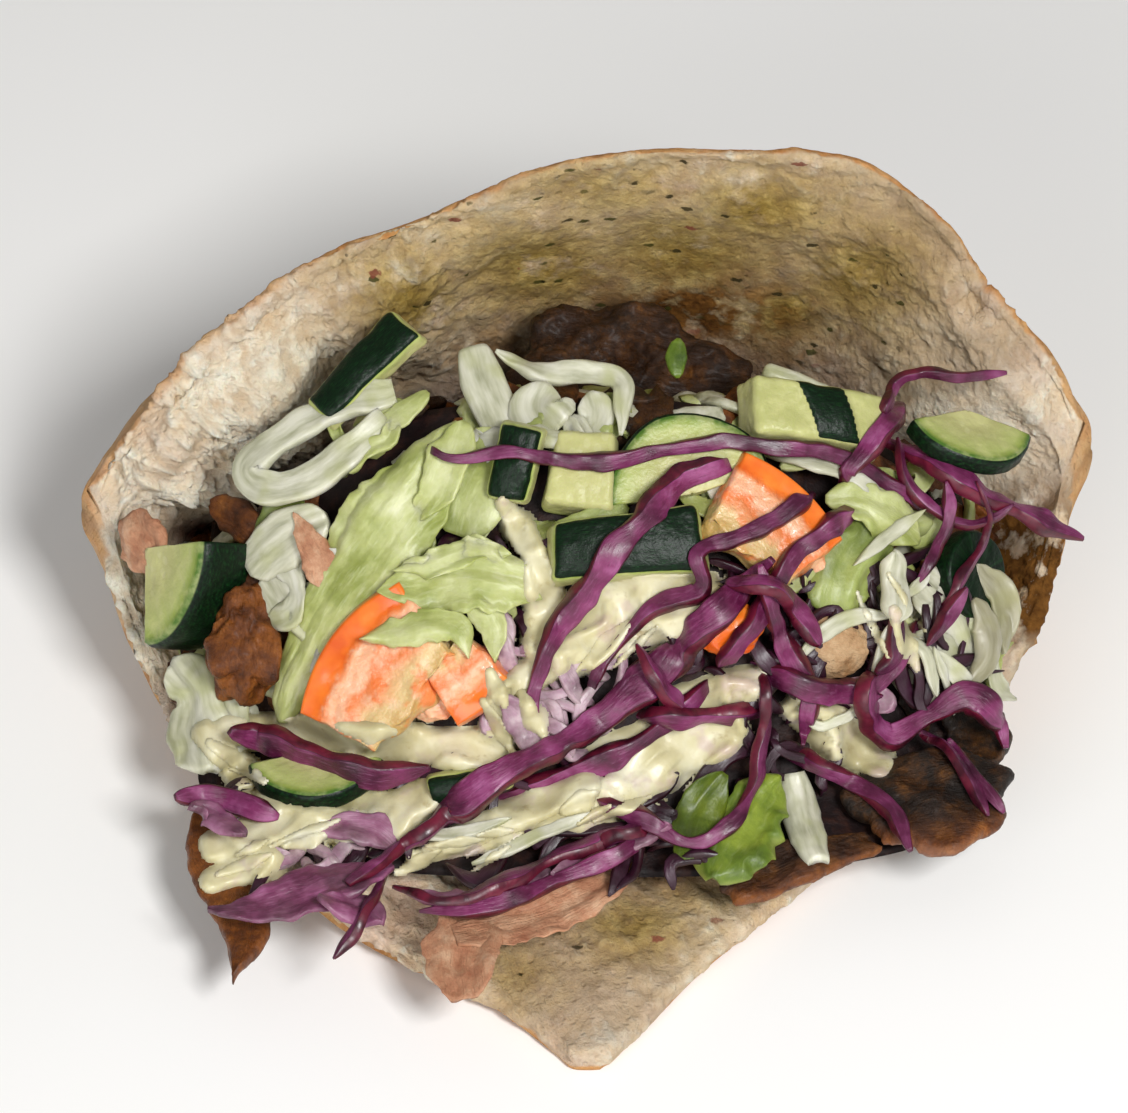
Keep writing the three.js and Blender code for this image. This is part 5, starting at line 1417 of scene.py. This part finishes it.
RED_CABBAGE = [  # width, then where it lies
    (3, [(-30, 28, -5), (-24, 25, 2), (-14, 26, 6), (2, 24, 3), (12, 26, 4), (25, 28, 3), (36, 27, 6),
         (47, 25, 5), (57, 19, 0), (64, 13, -5)]),
    (5, [(29, 24, -5), (18, 22, 4), (10, 14, 7), (2, 4, 6), (-5, -6, 3), (-9, -16, 1), (-9, -24, -5)]),
    (2.6, [(76, 41, 11), (68, 40, 9), (57, 40, 5), (54, 35, 0), (50, 28, -5)]),
    (4.5, [(57, 35, -5), (53, 30, 1), (49, 25, 2), (46, 21, -5)]),
    (5, [(52, 29, -5), (60, 26, 3), (66, 22, 9), (75, 17, 9), (90, 11, 13)]),
    (6, [(-42, -50, 1), (-25, -39, 1), (-15, -31, 3), (-3, -25, 1), (7, -18, 1), (18, -8, 1), (26, 0, 4),
         (33, 7, 7)]),
    (4.5, [(-17, -36, -5), (-3, -31, 0.5), (7, -27, 1.5), (17, -20, 1), (24, -13, -5)]),
    (3.4, [(0, -18, -5), (4, -10, 1), (12, -2, 3.5), (21, 2, 3), (20, 8, 5), (30, 12, 9), (41, 19, -5)]),
    (4, [(51, 18, -5), (43, 12, 2), (37, 7, 4), (30, -4, 2), (23, -13, -5)]),
    (3.6, [(31, 6, 6), (35, -7, 1.5), (40, -16, 1), (39, -26, -5)]),
    (4.4, [(25, 3, 3), (34, 2, 5), (42, -8, 4)]),
    (3.2, [(32, -8, -5), (32, -23, 1), (27, -39, 3), (19, -43, 0.5), (8, -38, 0.5), (-3, -34, -5)]),
    (4.6, [(9, -21, -5), (20, -21, 1), (34, -19, -5)]),
    (4.6, [(60, -4, -5), (55, -12, 1.5), (50, -16, 1), (41, -16, 2), (29, -11, -5)]),
    (6, [(52, -12, -5), (50, -19, 1), (54, -25, 1.5), (61, -21, 2), (69, -17.5, 1), (74, -22, 1.5),
         (75.5, -27, 0)]),
    (2.8, [(65, -25, -5), (67.5, -29, 1), (71, -33, 1.5), (74.5, -38, 1)]),
    (2.2, [(60, -24, -5), (66, -28, 1), (70, -35, 1), (72, -39, 0)]),
    (3.4, [(56, -1, -5), (55.5, -6, 1), (55, -10, 1.5), (52, -13, 0)]),
    (3.4, [(34, -27, -5), (47, -32, 1), (54, -37, 3), (58, -45, 3)]),
    (2, [(70, 21, 8), (73, 14, 6), (68, 4, 2), (61, -7, -5)]),
    (2.4, [(56, 29, 2), (57, 22, 3), (63, 15.5, 5), (70, 13, 6), (77, 17, 8)]),
    (2.2, [(64.5, 21, 6), (65, 14, 5), (63, 9, 3), (59, 2, -3)]),
    (2.2, [(68, 2, 3), (65, -3, 3), (61, -8, 1)]),
    (5, [(-34, -51, -5), (-23, -53, 0.5), (-10, -48, 0.5), (3, -43, 0.5), (18, -39, -5)]),
    (3.6, [(-29, -55, -2), (-19, -54.5, 0.5), (-8, -51, 0.5), (2, -46.5, 0.5), (12, -42, -3)]),
    (2.2, [(-44, -63, 1), (-38, -54, 0.5), (-34, -46, -5)]),
    (4, [(9, -8, 1), (14, -16, 1), (20, -22, -5)]),
]
PETALS = [  # widths, how creamy, then where it lies
    ((3, 6, 7, 3), 0.75, [(-15, -17, 0), (-12, -20, 1), (-9.5, -24, 1), (-8, -28, 0)]),
    ((3, 7, 8, 3), 0.35, [(-47, -41, 2), (-42, -40, 3), (-37, -41, 3), (-33.5, -44, 1.5)]),
    ((2, 6, 5, 3), 0.2, [(-70, -37, 2), (-66.5, -39, 2), (-63, -40.5, 1.5), (-60, -42, 0.5)]),
    ((1.5, 6, 10, 12, 8, 4), 0.1, [(-66.5, -54.5, 2), (-60, -54.5, 3), (-54, -53, 3.5), (-47, -51, 3.5),
                                   (-40, -49, 3), (-34, -47, 2)]),
    ((3, 7, 8, 5), 0.15, [(-47, -52, 1.5), (-43.5, -53.5, 2), (-39, -55, 1), (-36, -57, -1)]),
    ((3, 6, 4), 0.6, [(44, -16, 1), (50, -17, 2), (55, -19, 1)]),
    ((2, 5, 6, 3), 0.2, [(-30, -52, 0), (-22, -53, 1.5), (-14, -51, 1.5), (-6, -48, 0)]),
    ((2, 4.5, 5, 2.5), 0.25, [(-6, -49, 0), (2, -46, 1.5), (9, -42.5, 1.5), (15, -40, 0)]),
]
WHITE_CABBAGE = [  # widths, then where it lies
    ((1.2, 3.2, 3.0, 1.4), [(37.5, -11, 1), (42, -6.5, 2), (47.5, -3.2, 3), (55, -3, 4)]),
    ((0.8, 2.6, 2.4, 1.6), [(55.5, 8.5, 4), (54.8, 4, 4), (55, 0, 4), (56, -5, 3)]),
    ((1.6, 2.6, 2.0, 0.6), [(57, -2, 4), (53.8, -7, 3), (52, -12.5, 1.5), (50.8, -17, 0)]),
    ((1.0, 2.4, 1.8, 0.6), [(57, 0, 4), (60.5, 3.5, 3.5), (61.5, 8, 3)]),
    ((1.4, 3.2, 3.6, 2.4), [(60, -8, 3), (65, -12, 3.4), (69.5, -16.5, 3), (72.5, -20.5, 1.5)]),
    ((1.2, 2.6, 2.8, 1.2), [(57.5, -6.5, 3), (61, -9.5, 3), (62, -13.5, 2), (63, -17.5, 1)]),
    ((0.8, 1.8, 1.2, 0.6), [(62.5, -8.5, 4), (64.5, -14, 3), (66.5, -20.5, 1)]),
    ((1.4, 2.0, 1.8, 1.0), [(38, -19, 2), (41, -22.5, 3), (45.5, -21.5, 3.5), (49, -19.5, 3), (46, -18, 2)]),
    ((1.4, 3.4, 3.0, 1.2), [(32, 26, -3), (40, 24.5, 2), (48, 22, 2), (55, 17, -3)]),
    ((0.8, 2.6, 2.4, 0.8), [(61, 16, 1), (56, 12.5, 4), (51, 8.5, 5), (48, 6, 3)]),
    ((1.0, 2.6, 2.4, 0.8), [(-34, -41, -3), (-24, -42, 2), (-13, -39, 0)]),
    ((1.0, 2.6, 2.4, 0.8), [(-20, -47, 1), (-8, -42, 2), (4, -37, 1)]),
]
STRIPS = dict(  # width, thickness and where each lies
    left=(5.6, 2.6, [(-63, -23.5, 3), (-55, -25.5, 4), (-46, -29, 5), (-38, -31, 4.6), (-27.5, -30, 3.6)]),
    corner=(4.4, 2.2, [(-73, -35, 3), (-66, -35.5, 2.4), (-60, -37, 1.6), (-54.5, -38.5, 0.8)]),
)
LITTER = [  # name, finish, seed, how each is made and shaded; then batches: how many, where (a, b, reach
    # across, reach up), their lengths and widths, and their heading with its spread in degrees
    ("green", "lettuce", 7, "flake", dict(green=0.3), [
        (18, (-6, 16, 40, 16), (8, 16), (3.0, 7.0), 40, 60),
        (12, (46, 12, 14, 10), (8, 16), (3.0, 7.0), -30, 50)]),
    ("white", "onion", 5, "flake", {}, [
        (12, (-50, -2, 14, 12), (8, 18), (3.0, 6.5), 40, 40),
        (12, (0, 26, 32, 8), (8, 14), (3.0, 5.0), 10, 60),
        (5, (66, -6, 8, 8), (10, 16), (3.0, 5.5), -40, 30),
        (6, (-34, -36, 28, 6), (8, 18), (1.6, 3.0), 24, 20)]),
    # the dark shreds: near-black shreds laid in the gaps as painted shade
    ("dark", "salad", 3, "shred", dict(dark=0.78), [
        (52, (-16, -38, 44, 9), (9, 22), (1.6, 3.6), 24, 18),
        (30, (52, -6, 18, 14), (9, 22), (1.2, 2.6), -58, 30),
        (14, (30, -20, 14, 10), (8, 16), (1.6, 2.8), -40, 40),
        (26, (4, 0, 38, 14), (8, 18), (1.6, 3.2), 30, 45)]),
    ("milky", "salad", 6, "shred", dict(milky=0.8), [
        (18, (-10, -15, 7, 9), (8, 15), (1.6, 3.2), -58, 16),
        (10, (-2, -12, 9, 8), (8, 15), (1.4, 2.6), 40, 25),
        (8, (-50, -42, 12, 4), (8, 15), (1.4, 2.6), 10, 25)]),
]


def red_cabbage():
    for seed, (widths, creamy, route) in enumerate(PETALS, 80):
        yield leaf(route, widths, seed, thick=1.2, wave=1.0, frill=1.2, folds=1.2, ragged=0.2, over=True,
                   columns=24, milky=creamy)
    for seed, (width, route) in enumerate(RED_CABBAGE):
        yield ribbon(route, 0.85 * width, 0.8 + 0.38 * width, seed, blunt=0.4, twist=40, step=0.6, cup=0.1,
                     flare=0.7, lean=30 if seed % 3 else -24, dark=0.28 if width < 3.5 else 0.0)


def shreds():
    pile("white_cabbage_shreds", "onion", (
        leaf(route, widths, seed, thick=1.0, wave=0.9, frill=0.7, folds=0.6, ragged=0.2, over=True,
             columns=16, blunt=0.2, reach=4.0) for seed, (widths, route) in enumerate(WHITE_CABBAGE, 50)))
    pile("red_cabbage_shreds", "salad", red_cabbage())
    for seed, (name, (width, thick, route)) in enumerate(STRIPS.items(), 70):
        topping(f"red_cabbage_strip_{name}",
                ribbon(route, width, 1.2 * thick, seed, twist=12, lean=-34, blunt=0.4, flare=0.3, cup=0.0))
    topping("onion_strip_back",
            ribbon([(-15.5, 44.5, -2), (-8, 40.5, -2), (3, 40.6, -1), (6.6, 39, 0), (6.2, 29.5, 2.6)],
                   3.2, 1.8, 60))
    topping("onion_strip_right",
            ribbon([(55.5, 8.5, 4), (55.2, 4, 4.4), (55.8, 0, 4.6), (55.5, -4, 4.4)], 5, 2.4, 61))
    topping("onion_stick_back", placed(slab(13, 3.4, 3, 0.4), a=38, b=38.6, turn=-17))


def strewn(rng, count, place, length, width, heading, spread):
    """Routes of small shreds about a place, heading one way more or less, each with its width."""
    made = []
    for _ in range(count):
        a = place[0] + place[2] * rng.uniform(-1, 1)
        b = place[1] + place[3] * rng.uniform(-1, 1)
        way = np.radians(heading + rng.normal(0, spread))
        long = rng.uniform(*length)
        side = np.array([-np.sin(way), np.cos(way)])
        ahead = np.array([np.cos(way), np.sin(way)])
        sway = rng.uniform(-0.25, 0.25, 2) * long
        stops = np.linspace(-0.5, 0.5, 5)
        bows = sway[0] * (stops**2 - 0.1) * 4 + sway[1] * np.sin(stops * 6)
        lifts = rng.uniform(-1, 1) - 5.0 * (np.abs(stops) > 0.45) * rng.uniform(0, 1)  # ends go down
        points = [(a, b) + stop * long * ahead + bow * side for stop, bow in zip(stops, bows)]
        made.append(([(x, y, lift) for (x, y), lift in zip(points, lifts)], rng.uniform(*width)))
    return made


def flake(route, width, seed, **values):
    widths = [width * share for share in (0.5, 1.0, 0.7, 1.1, 0.4)]
    return leaf(route, widths, seed, thick=0.8, wave=1.6, frill=1.8, folds=1.2, ragged=0.45, step=1.0,
                columns=12, over=True, clear=0.1, reach=2.0, **values)


def shred(route, width, seed, **values):
    return ribbon(route, width, 1.3, seed, step=0.9, sides=12, taper=0.8, twist=60, reach=2.5, blunt=0.45,
                  **values)


def litter():
    """What fills the gaps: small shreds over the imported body, loose leaves and scraps of meat."""
    for name, finish, seed, form, shades, batches in LITTER:
        rng = np.random.default_rng(seed)
        routes = [spot for batch in batches for spot in strewn(rng, *batch)]
        maker = dict(flake=flake, shred=shred)[form]
        first = seed * 100 + 1
        pile(f"gap_filling_{name}", finish, (
            maker(route, width, number, **shades) for number, (route, width) in enumerate(routes, first)))
    pile("loose_leaves", "lettuce", [
        leaf([(16.8, 46.5, 1), (16.4, 43, 1.5), (16.6, 39.5, 1)], [2.5, 4, 2], 90, over=True, green=0.9),
        leaf([(-51, 18.5, 0), (-55.5, 14, 1), (-59.5, 9, 0)], [7, 7, 3], 91, folds=1.0, ragged=0.25,
             green=0.7, dark=0.5),
        leaf([(35, 23.5, 1), (39.5, 25.5, 2), (44, 25.5, 2.5), (48.5, 22, 2)], [3, 5, 5, 3], 92, folds=1.4,
             ragged=0.35, frill=1.8, green=0.1),
        leaf([(-42, 22.5, 1), (-39.5, 27, 2), (-35.5, 28.5, 2), (-33.5, 33, 1)], [2.5, 4, 4, 2], 93,
             folds=1.2, ragged=0.3, frill=1.6),
        leaf([(-28, 37, 0), (-33, 33, 1), (-38, 30, 0.5)], [3, 5, 3], 94, folds=1.0, ragged=0.3, green=0.1)])
    lean = dict(thick=2.4, wave=1.2, folds=1.0, ragged=0.2)
    pile("meat_scraps", "meat", [
        meat(leaf([(-67, 17, -2), (-62, 14, -1), (-57.5, 10, -2)], [5, 7, 5], 95, **lean),
             0.62, 21, rough=0.8),
        meat(leaf([(-64, 8, -2), (-60, 4, -1), (-57, 0, -2)], [4, 6, 4], 96, **lean), 0.7, 22, rough=0.8),
        meat(leaf([(63, -13, -7), (68, -18, -6), (71, -24, -5), (72, -30, -5)], [6, 11, 12, 8], 97,
                  thick=3.0, wave=1.4, folds=1.2, ragged=0.15), 0.95, 23, rough=0.8)])


# ------------------------------------------------------------------ assembly

bread()
core_points, core_faces = heap_core()
# the body under the toppings, coloured near-black as painted shade in the gaps
pile("salad_core", "core", [(core_points, core_faces, {})])
padding(core_points, core_faces)
thick_and_dark()
litter()
leaves()
whites()
green_and_firm()
tomatoes()
on_top()
sauces()
over_the_sauce()
shreds()
smears()

# ------------------------------------------------------------------ floor, light and camera


def floor():
    mesh = bpy.data.meshes.new("floor")
    corners = [(x * FLOOR_REACH, y * FLOOR_REACH, 0) for x, y in ((-1, -1), (1, -1), (1, 1), (-1, 1))]
    mesh.from_pydata(corners, [], [(0, 1, 2, 3)])
    f = Finish("pale_floor", 0.6)
    grain = f.ramp(f.noise(FLOOR_GRAIN), (0.4, (248, 247, 244)), (0.6, (251, 250, 248)))
    mesh.materials.append(f.done(grain))
    made = linked("floor", mesh)
    made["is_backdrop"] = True


def lamp(name, at, size, power):
    light = bpy.data.lights.new(name, "AREA")
    light.size = size
    light.energy = power
    made = linked(name, light)
    made.location = at
    made.rotation_euler = (Vector(LAMPS_AIM) - Vector(at)).to_track_quat("-Z", "Y").to_euler()


def camera():
    data = bpy.data.cameras.new("camera")
    data.lens = SENSOR * CAMERA_REACH / FRAME_WIDTH
    data.sensor_width = SENSOR
    data.clip_end = FAR_CLIP
    made = linked("camera", data)
    made.location = Vector(from_mouth(np.array([*AIM, PLANE_OUT + CAMERA_REACH])) * MM)
    made.rotation_euler = (LEAN, 0, 0)
    bpy.context.scene.camera = made


def world():
    made = bpy.data.worlds.new("studio")
    made.use_nodes = True
    background = made.node_tree.nodes["Background"]
    background.inputs["Color"].default_value = (1.0, 1.0, 1.0, 1.0)
    background.inputs["Strength"].default_value = WORLD_LIGHT
    bpy.context.scene.world = made


floor()
lamp("key", (0.45, -0.85, 1.1), 0.35, 17.8)  # metres and watts
lamp("fill", (-0.5, -1.2, 0.6), 0.8, 8.0)
world()
camera()
bpy.context.scene.view_settings.view_transform = "Standard"

boxes = {name: [list(corner) for corner in box] for name, box in (("cad", CAD_BOX), ("visual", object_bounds()))}
